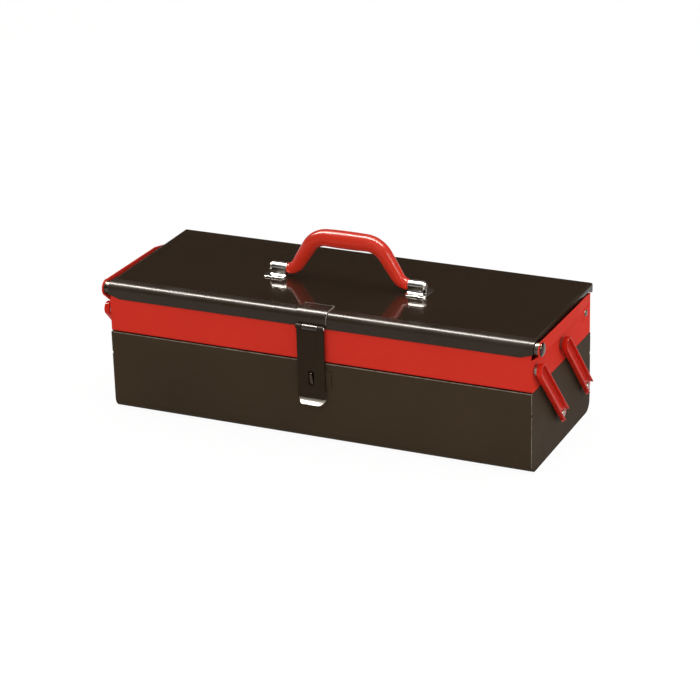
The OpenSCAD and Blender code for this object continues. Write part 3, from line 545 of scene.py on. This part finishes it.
def enamel(name, colour, rough, gloss, peel=0.05, tone=0.10, wear_and_highlight_bands=(), wear_and_highlight_tone=(0.42, 0.36, 0.29),
           scratches=0.0, polished=None):
    """Sprayed enamel: drift in tone, orange peel, rubbing marks, lighter edge bands of wear and
    painted highlight, a polished part.
    """
    finish = bpy.data.materials.new(name)
    finish.use_nodes = True
    tree = finish.node_tree
    skin = tree.nodes["Principled BSDF"]
    place = tree.nodes.new("ShaderNodeTexCoord")
    clouds = ranged(tree, noise(tree, place, 9.0, 4.0), 0.3, 0.7, 0, 1)
    darker = tuple(c * (1 - tone) for c in colour)
    lighter = tuple(min(1, c * (1 + tone)) for c in colour)
    shade = blended(tree, clouds, darker, lighter)
    specks = ranged(tree, noise(tree, place, 900.0, 2.0), 0.66, 0.72, 0, 0.35)
    shade = blended(tree, specks, shade, tuple(c * 0.55 for c in colour))
    if scratches:
        streaks = noise(tree, place, 30.0, 5.0, (0.6, 14.0, 14.0))
        rubs = ranged(tree, streaks, 0.62, 0.74, 0, scratches)
        shade = blended(tree, rubs, shade, tuple(min(1, c * 1.9 + 0.01) for c in colour))
    # Lighter bands in boxes: wear, and where a call says so, a painted highlight along an edge.
    for low, high, soft, amount in wear_and_highlight_bands:
        inside = mask_box(tree, place, low, high, soft)
        patchy = ranged(tree, noise(tree, place, 160.0, 3.0), 0.35, 0.62, amount * 0.45, amount)
        both = tree.nodes.new("ShaderNodeMath")
        both.operation = "MULTIPLY"
        joined(tree, [((inside, 0), (both, 0)), ((patchy, 0), (both, 1))])
        shade = blended(tree, both, shade, wear_and_highlight_tone)
    tree.links.new(shade, skin.inputs["Base Color"])
    blotches = noise(tree, place, 34.0, 4.0)
    dull = ranged(tree, blotches, 0.25, 0.75, max(0.02, rough - 0.05), rough + 0.07)
    joined(tree, [((dull, 0), (skin, "Roughness"))])
    skin.inputs["Specular IOR Level"].default_value = gloss
    if polished:
        low, high, soft, more, less = polished
        inside, smoother = mask_box(tree, place, low, high, soft), tree.nodes.new("ShaderNodeMix")
        smoother.inputs[3].default_value = less
        joined(tree, [((ranged(tree, inside, 0, 1, gloss, more), 0), (skin, "Specular IOR Level")),
                      ((inside, 0), (smoother, 0)), ((dull, 0), (smoother, 2)),
                      ((smoother, 0), (skin, "Roughness"))])
    dimple, wave = made(tree, "ShaderNodeBump", "ShaderNodeBump")
    dimple.inputs["Strength"].default_value = peel
    dimple.inputs["Distance"].default_value = 0.0002
    wave.inputs["Strength"].default_value = 0.10
    wave.inputs["Distance"].default_value = 0.0008
    joined(tree, [((noise(tree, place, 18.0, 1.0), 0), (wave, "Height")),
                  ((noise(tree, place, 700.0, 2.0), 0), (dimple, "Height")),
                  ((wave, 0), (dimple, "Normal")), ((dimple, 0), (skin, "Normal"))])
    return finish


def plated(name, colour, rough, streak=None, pits=0.03):
    """Plated or bare steel with faint rolling or polishing marks and small dull spots."""
    finish = bpy.data.materials.new(name)
    finish.use_nodes = True
    tree = finish.node_tree
    skin = tree.nodes["Principled BSDF"]
    place = tree.nodes.new("ShaderNodeTexCoord")
    lines = noise(tree, place, 60.0, 5.0, streak or (1, 1, 1))
    spots = ranged(tree, noise(tree, place, 420.0, 3.0), 0.62, 0.72, 0, 0.5)
    darker = tuple(c * 0.86 for c in colour)
    shade = blended(tree, ranged(tree, lines, 0.3, 0.7, 0, 1), darker, colour)
    shade = blended(tree, spots, shade, tuple(c * 0.55 for c in colour))
    tree.links.new(shade, skin.inputs["Base Color"])
    skin.inputs["Metallic"].default_value = 1.0
    dull = ranged(tree, lines, 0.25, 0.75, max(0.02, rough - 0.05), rough + 0.10)
    joined(tree, [((dull, 0), (skin, "Roughness"))])
    bump = tree.nodes.new("ShaderNodeBump")
    bump.inputs["Strength"].default_value = pits
    bump.inputs["Distance"].default_value = 0.0002
    joined(tree, [((lines, 0), (bump, "Height")), ((bump, 0), (skin, "Normal"))])
    return finish


# ---- sheet metal pieces ----------------------------------------------------------

def base_tub():
    """The base's one long sheet: rounded bottom edges and a hem folded in along both rims."""
    fold, bend, low = REAR - HEM_R, REAR - BASE_BEND, BASE_H - BASE_HEM
    path = ([(HEM_R - fold, low)] + arc(-fold, BASE_H - HEM_R, HEM_R, 0, 180, 10)
            + arc(-bend, BASE_BEND, BASE_BEND, 180, 270, 12)
            + arc(bend, BASE_BEND, BASE_BEND, 270, 360, 12)
            + arc(fold, BASE_H - HEM_R, HEM_R, 0, 180, 10) + [(fold - HEM_R, low)])
    bm = drawn("tub", sheet_section(path, SHEET), -END_X, END_X, DARK)
    thing = finished("base_tub", bm, DARK)
    for s in (-1, 1):
        drill = bmesh.new()
        bmesh.ops.create_cone(drill, cap_ends=True, segments=32, radius1=NOTCH_R, radius2=NOTCH_R,
                              depth=190)
        bmesh.ops.rotate(drill, cent=(0, 0, 0), matrix=Matrix.Rotation(math.pi / 2, 3, "X"),
                         verts=drill.verts)
        bmesh.ops.translate(drill, vec=(s * END_X, 0, NOTCH_Z), verts=drill.verts)
        to_metres(drill)
        cutter = plain_object("drill", drill, DARK)
        cut = thing.modifiers.new("notch", "BOOLEAN")
        cut.operation, cut.object, cut.solver = "DIFFERENCE", cutter, "EXACT"
        settled(thing)
        bpy.data.objects.remove(cutter)
    settled(softened(thing, 0.22, 2))
    evened(thing)
    placed(thing, "base", "dark_paint", "base_shell")


def tray_trough():
    """The tray's long sheet, hemmed along the lower front rim and the rear rim."""
    fold, bend = TRAY_REAR - HEM_R, TRAY_REAR - TRAY_BEND
    path = ([(HEM_R - fold, FRONT_TOP - TRAY_HEM)]
            + arc(-fold, FRONT_TOP - HEM_R, HEM_R, 0, 180, 10)
            + arc(-bend, TRAY_Z + TRAY_BEND, TRAY_BEND, 180, 270, 8)
            + arc(bend, TRAY_Z + TRAY_BEND, TRAY_BEND, 270, 360, 8)
            + arc(fold, TRAY_TOP - HEM_R, HEM_R, 0, 180, 10)
            + [(fold - HEM_R, TRAY_TOP - TRAY_HEM)])
    inside = END_X - 1.05
    bm = drawn("trough", sheet_section(path, SHEET), -inside, inside, RED)
    placed(finished("tray_trough", bm, RED, 0.2), "tray", "red_paint", "tray_shell")


def smooth_least(a, b, soft):
    """The smaller of two values with the crease between them rounded."""
    h = max(0.0, min(1.0, 0.5 + 0.5 * (b - a) / soft))
    return b * (1 - h) + a * h - soft * h * (1 - h)


def flare(y, z):
    """How far the tray's end panel stands out at one place."""
    along = max(0.0, min(1.0, (TRAY_REAR - y) / (TRAY_REAR - FLARE_BACK)))
    rise = max(0.0, smooth_least((z - FLARE_Z) * FLARE_OUT / FLARE_RISE, FLARE_OUT * along, 1.0))
    for a in STOP_ANGLES:
        far = math.hypot(y - HINGE_Y - STOP_DIST * math.cos(math.radians(a)),
                         z - HINGE_Z - STOP_DIST * math.sin(math.radians(a)))
        t = max(0.0, min(1.0, STOP_R + STOP_FADE - far))
        rise -= STOP_DEPTH * t * t * (3 - 2 * t)
    return rise


def tray_end_panel(s, side):
    """End panel: one sheet creased outwards to the round ear, with two pressed stops."""
    bend, low = TRAY_BEND, TRAY_Z + TRAY_BEND
    outline = (arc(TRAY_FRONT + bend, low, bend, 180, 270, 6)
               + arc(TRAY_REAR - bend, low, bend, 270, 360, 6)
               + [(TRAY_REAR, TRAY_TOP), (FLARE_BACK, FLARE_TOP)]
               + arc(ROLL_Y, ROLL_Z, EAR_R, *EAR_ARC, 40))
    bm = bmesh.new()
    bm.faces.new([bm.verts.new((END_X, y, z)) for y, z in outline])
    # Cuts lie closest where the sheet bends: along the crease and at the two stops
    levels = [FLARE_Z - 1 + 0.5 * i for i in range(15)] + [125.2, 127, 129, 132]
    cuts = [((0, 0, z), (0, 0, 1)) for z in levels]
    cuts += [((0, y, 0), (0, 1, 0)) for y in [-80 + 5 * i for i in range(33)] + [26, 27, 28, 29]]
    for a in STOP_ANGLES:
        cy = HINGE_Y + STOP_DIST * math.cos(math.radians(a))
        cz = HINGE_Z + STOP_DIST * math.sin(math.radians(a))
        for i in range(-6, 7):
            cuts += [((0, cy + 0.5 * i, 0), (0, 1, 0)), ((0, 0, cz + 0.5 * i), (0, 0, 1))]
    for point, way in cuts:
        sliced(bm, point, way)
    for v in bm.verts:
        v.co.x = END_X + flare(v.co.y, v.co.z)
    bmesh.ops.recalc_face_normals(bm, faces=bm.faces)
    if sum(f.normal.x for f in bm.faces) < 0:
        bmesh.ops.reverse_faces(bm, faces=bm.faces)
    y, z = WELD_Y - WELD_R, WELD_LOW + WELD_R
    flange = sheet_section([(-WELD_Y, WELD_TOP)] + arc(-y, z, WELD_R, 180, 270, 4)
                           + arc(y, z, WELD_R, 270, 360, 4) + [(WELD_Y, WELD_TOP)], WELD_T)
    if s < 0:
        mirrored(bm)
    to_metres(bm)
    thing = plain_object("tray_end_" + side + "_panel", bm, RED, 32)
    wall = thing.modifiers.new("wall", "SOLIDIFY")
    wall.thickness, wall.offset, wall.use_even_offset = 1.0 * MM, -1.0, True
    settled(softened(thing, 0.28, 3, 50))
    strip = drawn("flange", flange, *WELD_X, RED)
    if s < 0:
        mirrored(strip)
    to_metres(strip)
    whole = bmesh.new()
    whole.from_mesh(thing.data)
    added(whole, strip)
    whole.to_mesh(thing.data)
    whole.free()
    evened(thing)
    placed(thing, "tray", "red_paint", "tray_end_" + side)


def lid():
    """Lid sheet: rolled front edge with its slant-cornered flange, rounded sides and rear."""
    edge_x, edge_y, edge_z = LID_X - LID_EDGE, LID_REAR - LID_EDGE, LID_Z - LID_EDGE
    side_front = EAR_BACK + 1
    front = [(side_front, LID_Z)] + arc(ROLL_Y, ROLL_Z, ROLL_R, 90, 180, 24) + [(FRONT, FLANGE_Z)]
    bm = drawn("lid_front", sheet_section(front, LID_SHEET), -LID_X, LID_X, LID_DARK)
    for s in (-1, 1):
        slant = Vector((s * SLANT_H, 0, -SLANT_L)).normalized()
        sliced(bm, (s * (LID_X - SLANT_L), 0, FLANGE_Z), slant, clear_outer=True)
        bmesh.ops.holes_fill(bm, edges=[e for e in bm.edges if e.is_boundary], sides=0)
    rear = [(LID_REAR, SKIRT_Z)] + arc(edge_y, edge_z, LID_EDGE, 0, 90, 8) + [(side_front, LID_Z)]
    added(bm, drawn("lid_rear", sheet_section(rear, LID_SHEET), -edge_x, edge_x, LID_DARK))
    skirt = [(LID_X, SIDE_LOW)] + arc(edge_x, edge_z, LID_EDGE, 0, 90, 8)
    for s in (-1, 1):
        strip = drawn("lid_side", sheet_section(skirt, LID_SHEET), side_front, edge_y, LID_DARK)
        for x in (TRAY_REAR - 10, TRAY_REAR):
            sliced(strip, (x, 0, 0), (1, 0, 0))
        for v in strip.verts:
            if v.co.z < SIDE_LOW + 0.1 and v.co.x > TRAY_REAR - 1:
                v.co.z = SKIRT_Z
            v.co.x, v.co.y = s * v.co.y, v.co.x
        bmesh.ops.recalc_face_normals(strip, faces=strip.faces)
        added(bm, strip)
        corner = bmesh.new()
        steps = 8
        outer = [(LID_EDGE, SKIRT_Z)] + arc(0, edge_z, LID_EDGE, 0, 88, 8)
        for k in range(steps):
            quad = []
            for a in (90 * k / steps, 90 * (k + 1) / steps):
                ca, sa = math.cos(math.radians(a)), math.sin(math.radians(a))
                quad.append([corner.verts.new((s * (edge_x + r * ca), edge_y + r * sa, z))
                             for r, z in outer])
            for i in range(len(outer) - 1):
                corner.faces.new((quad[0][i], quad[0][i + 1], quad[1][i + 1], quad[1][i]))
        bmesh.ops.remove_doubles(corner, verts=corner.verts, dist=1e-3)
        bmesh.ops.recalc_face_normals(corner, faces=corner.faces)
        centre = Vector((s * edge_x, edge_y, SIDE_LOW))
        if sum(f.normal.dot(f.calc_center_median() - centre) for f in corner.faces) < 0:
            bmesh.ops.reverse_faces(corner, faces=corner.faces)
        added(bm, corner)
    to_metres(bm)
    thing = plain_object("lid_sheet", bm, LID_DARK, 32)
    placed(thing, "lid", "dark_paint", "lid_panel")


def arm(s, y0, name, node, body):
    """Pressed channel arm: web, rounded bends and a wall that ends at the cut lower end."""
    half = ARM_W / 2

    def outline(inset):
        """Points round the arm as (across, along) from its lower pivot, always in one order."""
        w, r, low = half - inset, max(0.3, ARM_CORNER - inset), -ARM_TAIL + inset
        right = [(w, v) for v in (low + r, ARM_CUT, -1.05, -0.85, 2, 20, 50, ARM_LEN)]
        round_top = [math.pi * i / 20 for i in range(1, 20)]
        top = [(w * math.cos(a), ARM_LEN + w * math.sin(a)) for a in round_top]
        left = [(-u, v) for u, v in right[::-1]]
        quarter = [math.pi / 2 * i / 5 for i in range(6)]
        foot = [(-w + r - r * math.cos(a), low + r - r * math.sin(a)) for a in quarter[1:]]
        foot += [(w - r + r * math.sin(a), low + r - r * math.cos(a)) for a in quarter[:5]]
        return right + top + left + foot

    def wall(v):
        """Height over the panel side: only the web at the cut lower end, full wall above it."""
        return ARM_T + (ARM_WALL - ARM_T) * max(0.0, min(1.0, (v - ARM_CUT) / 0.4))

    # Inset from the outline and height over the panel side, from the web's back to its face
    rings = [(2.4, lambda h: 0.0), (0.5, lambda h: 0.0), (0.15, lambda h: 0.15),
             (0.0, lambda h: 0.5), (0.0, lambda h: h - 0.32), (0.1, lambda h: h - 0.1),
             (0.32, lambda h: h), (0.86, lambda h: h), (1.08, lambda h: max(ARM_T, h - 0.1)),
             (1.2, lambda h: max(ARM_T, h - 0.32)),
             (1.25, lambda h: min(2.1, max(ARM_T, h - 0.5))),
             (1.5, lambda h: min(1.5, max(ARM_T, h - 0.5))),
             (2.1, lambda h: ARM_T), (2.8, lambda h: ARM_T)]
    bm = bmesh.new()
    loops = []
    ca, sa = math.cos(ARM_TILT), math.sin(ARM_TILT)
    base = outline(0)
    for inset, rise in rings:
        loop = []
        for (u, v), (_, v0) in zip(outline(inset), base):
            loop.append(bm.verts.new((ARM_X + rise(wall(v0)), y0 + u * ca - v * sa,
                                      BASE_PIVOT_Z + u * sa + v * ca)))
        loops.append(loop)
    n = len(base)
    for a, b in zip(loops, loops[1:]):
        for k in range(n):
            j = (k + 1) % n
            bm.faces.new((a[k], a[j], b[j], b[k]))
    bm.faces.new(loops[0])
    bm.faces.new(loops[-1])
    if s < 0:
        mirrored(bm)
    placed(finished(name, bm, RED_GLOSS, 0, 38), body, "red_paint", node)


def hasp_leaf():
    """Leaf: bent over the rolled edge, then down to the middle knuckle on the pin."""
    left, right = HASP_X - LEAF_W / 2, HASP_X + LEAF_W / 2
    face, back, low = FRONT - LEAF_T, FRONT - 0.02, PIN_Z + KNUCKLE_R + 0.3
    path = ([(ROLL_Y + LEAF_FLAT, LID_Z + LEAF_T)]
            + arc(ROLL_Y, ROLL_Z, ROLL_R + LEAF_T, 90, 180, 20) + [(face, low)])
    bm = drawn("leaf", sheet_section(path, LEAF_T - 0.02), left, right, LEAF)
    half, top, edge = MIDDLE_KNUCKLE / 2, low + 0.2, 0.3
    tongue = [(face, PIN_Z), (back, PIN_Z), (back, top), (face, top)]
    added(bm, drawn("tongue", tongue, HASP_X - half, HASP_X + half, LEAF))
    thing = finished("hasp_leaf_strap", bm, LEAF, edge)
    profile = [(HASP_X - half, KNUCKLE_R - edge), (HASP_X - half + edge, KNUCKLE_R),
               (HASP_X + half - edge, KNUCKLE_R), (HASP_X + half, KNUCKLE_R - edge)]
    roll = spun(profile, PIN_Y, PIN_Z)
    placed(thing, "lid", "hasp_paint", "hasp_leaf")
    placed(finished("hasp_middle_knuckle", roll, HASP_WORN), "lid", "hasp_paint")


def hasp_lip():
    """Bright pull lip: its bottom curls outwards and narrows to rounded corners."""
    spine = [(LIP_Y + LIP_BEND, LIP_Z + LIP_STRAIGHT - i) for i in range(8)]
    spine += arc(LIP_Y, LIP_Z, LIP_BEND, 0, -LIP_TURN, 12)
    end, turn = spine[-1], math.radians(LIP_TURN)
    for i in range(1, 8):
        spine.append((end[0] - 0.5 * i * math.sin(turn), end[1] - 0.5 * i * math.cos(turn)))
    lengths = [0.0]
    for a, b in zip(spine[::-1], spine[::-1][1:]):
        lengths.append(lengths[-1] + math.dist(a, b))
    lengths = lengths[::-1]
    bm = bmesh.new()
    rows = []
    for (y, z), far in zip(spine, lengths):
        w = HASP_W / 2 - 0.1 - LIP_TAPER * max(0.0, 1 - far / LIP_NARROW)
        if far < LIP_CORNER:
            w -= LIP_CORNER - math.sqrt(max(0.0, LIP_CORNER ** 2 - (LIP_CORNER - far) ** 2))
        rows.append([bm.verts.new((HASP_X + w * (k / 10 - 1), y, z)) for k in range(21)])
    for a, b in zip(rows, rows[1:]):
        for k in range(20):
            bm.faces.new((a[k], a[k + 1], b[k + 1], b[k]))
    bmesh.ops.recalc_face_normals(bm, faces=bm.faces)
    if sum(f.normal.y for f in bm.faces) > 0:
        bmesh.ops.reverse_faces(bm, faces=bm.faces)
    to_metres(bm)
    thing = plain_object("pull_lip", bm, BRIGHT, 50)
    wall = thing.modifiers.new("wall", "SOLIDIFY")
    wall.thickness, wall.offset = 1.0 * MM, 1.0
    settled(softened(thing, 0.3, 3, 50))
    evened(thing, 50)
    placed(thing, "hasp", "zinc_steel", "hasp_lip")


# ---- turned and riveted pieces ---------------------------------------------------

# Rivet heads and tails as (radius, height)
JOINT_HEAD, JOINT_TAIL, PIVOT_HEAD = (4.0, 2.0), (3.6, 1.2), (3.5, 1.5)
KEEPER_HEAD, KEEPER_TAIL, BRACKET_HEAD, BRACKET_TAIL = (2.6, 0.6), (2.4, 1.0), (2.6, 1.3), (2.4, 0.8)
# Turned pieces of the right-hand end as (x, radius) from end to end
STUD_NECK = ((226.75, 2.6), (227.2, 3.1), (228.1, 3.1), (228.1, 2.5), (232.3, 2.5))
STUD_RINGS = (((229.85, 6.4), (230.1, 6.9), (231.1, 6.9), (231.35, 6.5)),
              ((228.2, 5.9), (228.45, 6.4), (229.4, 6.4), (229.65, 6.0)),
              ((226.85, 5.7), (227.05, 6.2), (227.85, 6.2), (228.05, 5.8)))
SPACER = ((225.0, 5.2), (225.3, 5.5), (227.7, 5.5), (228.0, 5.2))
PIVOT_TAIL = ((223.0, 2.6), (222.4, 3.2), (221.2, 3.2), (221.1, 2.6))
PIVOT_SHANK = ((221.5, 2.0), (225.1, 2.0))
STUD_CAP = [(232.4, 6.7)] + dome(232.6, 7.0, 2.4)


def lathed(s, profile, y, z):
    """A turned piece of one end of the box."""
    return spun([(s * x, r) for x, r in profile], y, z)


def arm_rivets(s, side, pivots, z, body, finish, slot):
    """Rivet heads, tails and spacers of one body's row of arm joints."""
    outside = [(s * ARM_FACE, y, z) for y in pivots]
    inside = [(s * INNER_X, y, z) for y in pivots]
    bm = heads("heads", outside, [(s, 0, 0)] * 2, JOINT_HEAD, finish)
    added(bm, heads("tails", inside, [(-s, 0, 0)] * 2, JOINT_TAIL, finish))
    node = body + "_rivets_" + side
    placed(finished(node + "_heads", bm, finish), body, slot, node)
    rings = bmesh.new()
    for y in pivots:
        added(rings, lathed(s, SPACER, y, z))
    node = body + "_spacers_" + side
    placed(finished(node + "_rings", rings, WORN_ZINC), body, "zinc_steel", node)


def lid_pivot(s, side):
    """Rivet that the lid turns on, through the tray's end panel."""
    bm = lathed(s, PIVOT_TAIL, HINGE_Y, HINGE_Z)
    added(bm, lathed(s, PIVOT_SHANK, HINGE_Y, HINGE_Z))
    place = (s * (END_X + 0.05), HINGE_Y, HINGE_Z)
    added(bm, heads("hinge_heads", [place], [(s, 0, 0)], PIVOT_HEAD, DULL_METAL))
    node = "lid_pivot_" + side
    placed(finished(node + "_head", bm, DULL_METAL), "tray", "zinc_steel", node)


def catch_stud(s, side):
    """Domed stud through the round ear, and the rings behind the ear."""
    stud = lathed(s, STUD_NECK, ROLL_Y, ROLL_Z)
    added(stud, lathed(s, STUD_CAP, ROLL_Y, ROLL_Z))
    node = "catch_stud_" + side
    # The stud's darkened chrome paints a dark reflection on its dome.
    placed(finished(node + "_turned", stud, CHROME_PAINTED_DARK, 0, 45), "tray", "chrome", node)
    rings = bmesh.new()
    for profile in STUD_RINGS:
        added(rings, lathed(s, profile, ROLL_Y, ROLL_Z))
    node = "stud_washers_" + side
    placed(finished(node + "_pair", rings, DULL_METAL, 0, 45), "tray", "zinc_steel", node)


def keeper_rivets():
    x0, x1 = KEEPER_RIVETS_X
    outside = [(x, FRONT - 1.15, KEEPER_RIVETS_Z) for x in (x0, x1)]
    inside = [(x, FRONT + 0.95, KEEPER_RIVETS_Z) for x in (x0, x1)]
    bm = heads("keeper", outside, [(0, -1, 0)] * 2, KEEPER_HEAD, ZINC)
    added(bm, heads("keeper_tails", inside, [(0, 1, 0)] * 2, KEEPER_TAIL, ZINC))
    placed(finished("keeper_rivet_heads", bm, ZINC), "base", "zinc_steel", "keeper_rivets")


def hinge_pin():
    left, right = HASP_X - HASP_W / 2 - 1, HASP_X + HASP_W / 2 + 1
    profile = [(left, 0.4), (left + 0.15, 1.1), (left + 0.5, PIN_R),
               (right - 0.5, PIN_R), (right - 0.15, 1.1), (right, 0.4)]
    bm = spun(profile, PIN_Y, PIN_Z)
    placed(finished("hasp_hinge_pin", bm, ZINC), "lid", "zinc_steel", "hasp_pin")


# ---- handle ----------------------------------------------------------------------

def grip_line():
    """Middle line of the grip from its right end to its left, in X and Z."""
    low_turn = [math.radians(270) - LEG * i / 14 for i in range(15)]
    high_turn = [math.pi / 2 - LEG + LEG * i / 18 for i in range(19)]
    top = ROD_Z + GRIP_RISE
    half = [(GRIP_END, ROD_Z)]
    half += [(LOW_X + LOW_BEND * math.cos(a), ROD_Z + LOW_BEND * (1 + math.sin(a)))
             for a in low_turn]
    shoulder = [(HIGH_X + HIGH_BEND * math.cos(a), top + HIGH_BEND * (math.sin(a) - 1))
                for a in high_turn]
    (x0, z0), (x1, z1) = half[-1], shoulder[0]
    half += [(x0 + (x1 - x0) * t / 4, z0 + (z1 - z0) * t / 4) for t in (1, 2, 3)]
    half += shoulder + [(HIGH_X * t / 4, top) for t in (3, 2, 1)]
    return half + [(0.0, top)] + [(-x, z) for x, z in half[::-1]]


def grip():
    """Moulded grip: swells towards its middle and has a fine parting line along its top."""
    line = grip_line()
    swell = GRIP_MIDDLE_R - GRIP_END_R
    girth = [GRIP_END_R + swell * max(0.0, math.cos(math.pi / 2 * x / GRIP_END)) ** 0.8
             for x, _ in line]
    bm = bmesh.new()
    dots = [bm.verts.new((x, 0, z)) for x, z in line]
    for a, b in zip(dots, dots[1:]):
        bm.edges.new((a, b))
    thing = run_tree("handle_grip_skin", bm, GRIP_TREE,
                     {"Sides": 48, "Finish": GRIP_RED, "thick": girth})
    bm = bmesh.new()
    bm.from_mesh(thing.data)
    for v in bm.verts:
        if abs(v.co.y) < PART_LINE_W and v.co.z > ROD_Z + GRIP_RISE:
            v.co.z += PART_LINE_H
    bmesh.ops.recalc_face_normals(bm, faces=bm.faces)
    bpy.data.objects.remove(thing)
    thing = finished("handle_grip_skin", bm, GRIP_RED, 0, 50)
    placed(thing, "handle", "red_plastic", "handle_grip")


def bracket(s, side):
    """Saddle bracket: a strap over the rod on a foot with rounded corners."""
    out, seat = BARREL_R + STRAP_FLARE, LID_Z + FOOT_T
    walls = ([(out, seat)] + arc(out, seat + STRAP_FLARE, STRAP_FLARE, 270, 180, 6)
             + arc(0, ROD_Z, BARREL_R, 0, 180, 24)
             + arc(-out, seat + STRAP_FLARE, STRAP_FLARE, 0, -90, 6))
    bm = drawn("strap", sheet_section(walls, STRAP_T), BARREL_X, BARREL_X + BARREL_L, CHROME)
    foot = bmesh.new()
    r, w, h = FOOT_CORNER, FOOT_L, FOOT_W / 2
    ring = []
    for cx, cy, a0 in ((w - r, h - r, 0), (r, h - r, 90), (r, -h + r, 180), (w - r, -h + r, 270)):
        ring += [(GRIP_END + cx + r * math.cos(math.radians(a0 + 90 * i / 6)),
                  cy + r * math.sin(math.radians(a0 + 90 * i / 6))) for i in range(7)]
    low = [foot.verts.new((x, y, LID_Z)) for x, y in ring]
    top = [foot.verts.new((x, y, seat)) for x, y in ring]
    for k in range(len(ring)):
        j = (k + 1) % len(ring)
        foot.faces.new((low[k], low[j], top[j], top[k]))
    foot.faces.new(low[::-1])
    foot.faces.new(top)
    added(bm, foot)
    if s < 0:
        mirrored(bm)
    node = "bracket_" + side
    placed(finished(node + "_saddle", bm, CHROME, 0.35), "lid", "chrome", node)


def bracket_rivet_heads():
    y = (FOOT_W + 2 * BARREL_R) / 4
    tops = [(s * (GRIP_END + FOOT_L / 2), t * y, LID_Z + FOOT_T) for s in (-1, 1) for t in (-1, 1)]
    bm = heads("bracket_tops", tops, [(0, 0, 1)] * 4, BRACKET_HEAD, CHROME)
    tails = [(x, y, LID_Z - 1.0) for x, y, _ in tops]
    added(bm, heads("bracket_tails", tails, [(0, 0, -1)] * 4, BRACKET_TAIL, CHROME))
    placed(finished("bracket_rivet_heads", bm, CHROME), "lid", "chrome", "bracket_rivets")


# ---- making ----------------------------------------------------------------------

photo_camera()
studio()

# Dark base enamel. Its first lighter band, along the front top rim, is partly wear and partly a
# painted highlight where the hem catches light; the other two lighten the front corner edges.
DARK = enamel("dark_satin_enamel", (0.047, 0.032, 0.0190), 0.52, 0.02, wear_and_highlight_bands=(
    ((-225.3, -84.2, 83.2), (225.3, -82.6, 84.2), 0.5, 0.75),
    ((224.55, -84.2, 0), (225.3, -82.9, 84.2), 0.3, 0.55),
    ((-225.3, -84.2, 0), (-224.55, -82.9, 84.2), 0.3, 0.45)), scratches=0.10)
LID_DARK = enamel("dark_gloss_enamel", (0.027, 0.0170, 0.0100), 0.27, 0.17, peel=0.015, tone=0.08,
                  scratches=0.10,
                  polished=((-223.5, -70.0, 135.0), (223.5, 84.0, 140.0), 0.6, 0.36, 0.11))
RED = enamel("red_satin_enamel", (0.62, 0.034, 0.021), 0.50, 0.01, tone=0.04)
RED_GLOSS = enamel("red_gloss_enamel", (0.56, 0.020, 0.009), 0.15, 0.04, tone=0.05)
GRIP_RED = enamel("red_moulded_plastic", (0.60, 0.030, 0.013), 0.20, 0.13, peel=0.02, tone=0.03)
HASP = enamel("hasp_brown_enamel", (0.024, 0.0150, 0.0085), 0.38, 0.05, tone=0.12, scratches=0.15)
# Hasp leaf enamel, lighter and near bare along its rear edge and a little lighter along its
# right-hand edge.
LEAF = enamel("hasp_leaf_enamel", (0.024, 0.0150, 0.0087), 0.25, 0.20, tone=0.10, scratches=0.12,
              wear_and_highlight_tone=(0.60, 0.55, 0.48),
              wear_and_highlight_bands=(((-18.4, -63.95, 135.7), (14.4, -63.1, 137.2), 0.15, 1.0),
                    ((13.7, -92, 122), (14.3, -63.1, 137.2), 0.1, 0.5)))
HASP_WORN = enamel("hasp_worn_enamel", (0.026, 0.015, 0.009), 0.24, 0.4, tone=0.12, scratches=0.3)
ZINC = plated("zinc_plate", (0.60, 0.58, 0.54), 0.28)
WORN_ZINC = plated("worn_zinc_plate", (0.36, 0.32, 0.28), 0.34)
CHROME = plated("chrome_plate", (0.66, 0.64, 0.61), 0.12, pits=0.015)
# Chrome drawn with a dark colour: painted shade for the staple in its slot, painted dark reflection
# on the stud domes.
CHROME_PAINTED_DARK = plated("chrome_painted_dark", (0.060, 0.042, 0.032), 0.12, pits=0.02)
DULL_METAL = plated("dull_aged_steel", (0.15, 0.13, 0.105), 0.26)
BRIGHT = plated("bare_bright_steel", (0.50, 0.46, 0.40), 0.32, streak=(14.0, 1.0, 1.0))

SHEET_TREE, RIVET_TREE, GRIP_TREE = drawn_sheet_tree(), rivet_tree(), grip_tree()

base_tub()
for s, side in SIDES:
    from_cad("base_end_" + side, DARK, "base", "dark_paint")
    tray_end_panel(s, side)
    arm(s, BASE_PIVOTS[0], "front_arm_" + side + "_channel", "front_arm_" + side, "front_arms")
    arm(s, BASE_PIVOTS[1], "rear_arm_" + side + "_channel", "rear_arm_" + side, "rear_arms")
    from_cad("hinge_lug_" + side, LID_DARK, "lid", "dark_paint")
    bracket(s, side)
from_cad("keeper_plate", DARK, "base", "dark_paint", 0.35)
# The staple's darkened chrome paints the shade in the hasp's slot.
from_cad("staple", CHROME_PAINTED_DARK, "base", "chrome", 0.6)
tray_trough()
lid()
hasp_leaf()
from_cad("hasp_plate", HASP, "hasp", "hasp_paint", 0.35)
hasp_lip()
hinge_pin()
for s, side in SIDES:
    arm_rivets(s, side, BASE_PIVOTS, BASE_PIVOT_Z, "base", WORN_ZINC, "zinc_steel")
    arm_rivets(s, side, TRAY_PIVOTS, TRAY_PIVOT_Z, "tray", RED_GLOSS, "red_paint")
    lid_pivot(s, side)
    catch_stud(s, side)
keeper_rivets()
bracket_rivet_heads()
grip()
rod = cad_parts["handle_rod"]
for place in rod.material_slots:
    place.material = ZINC
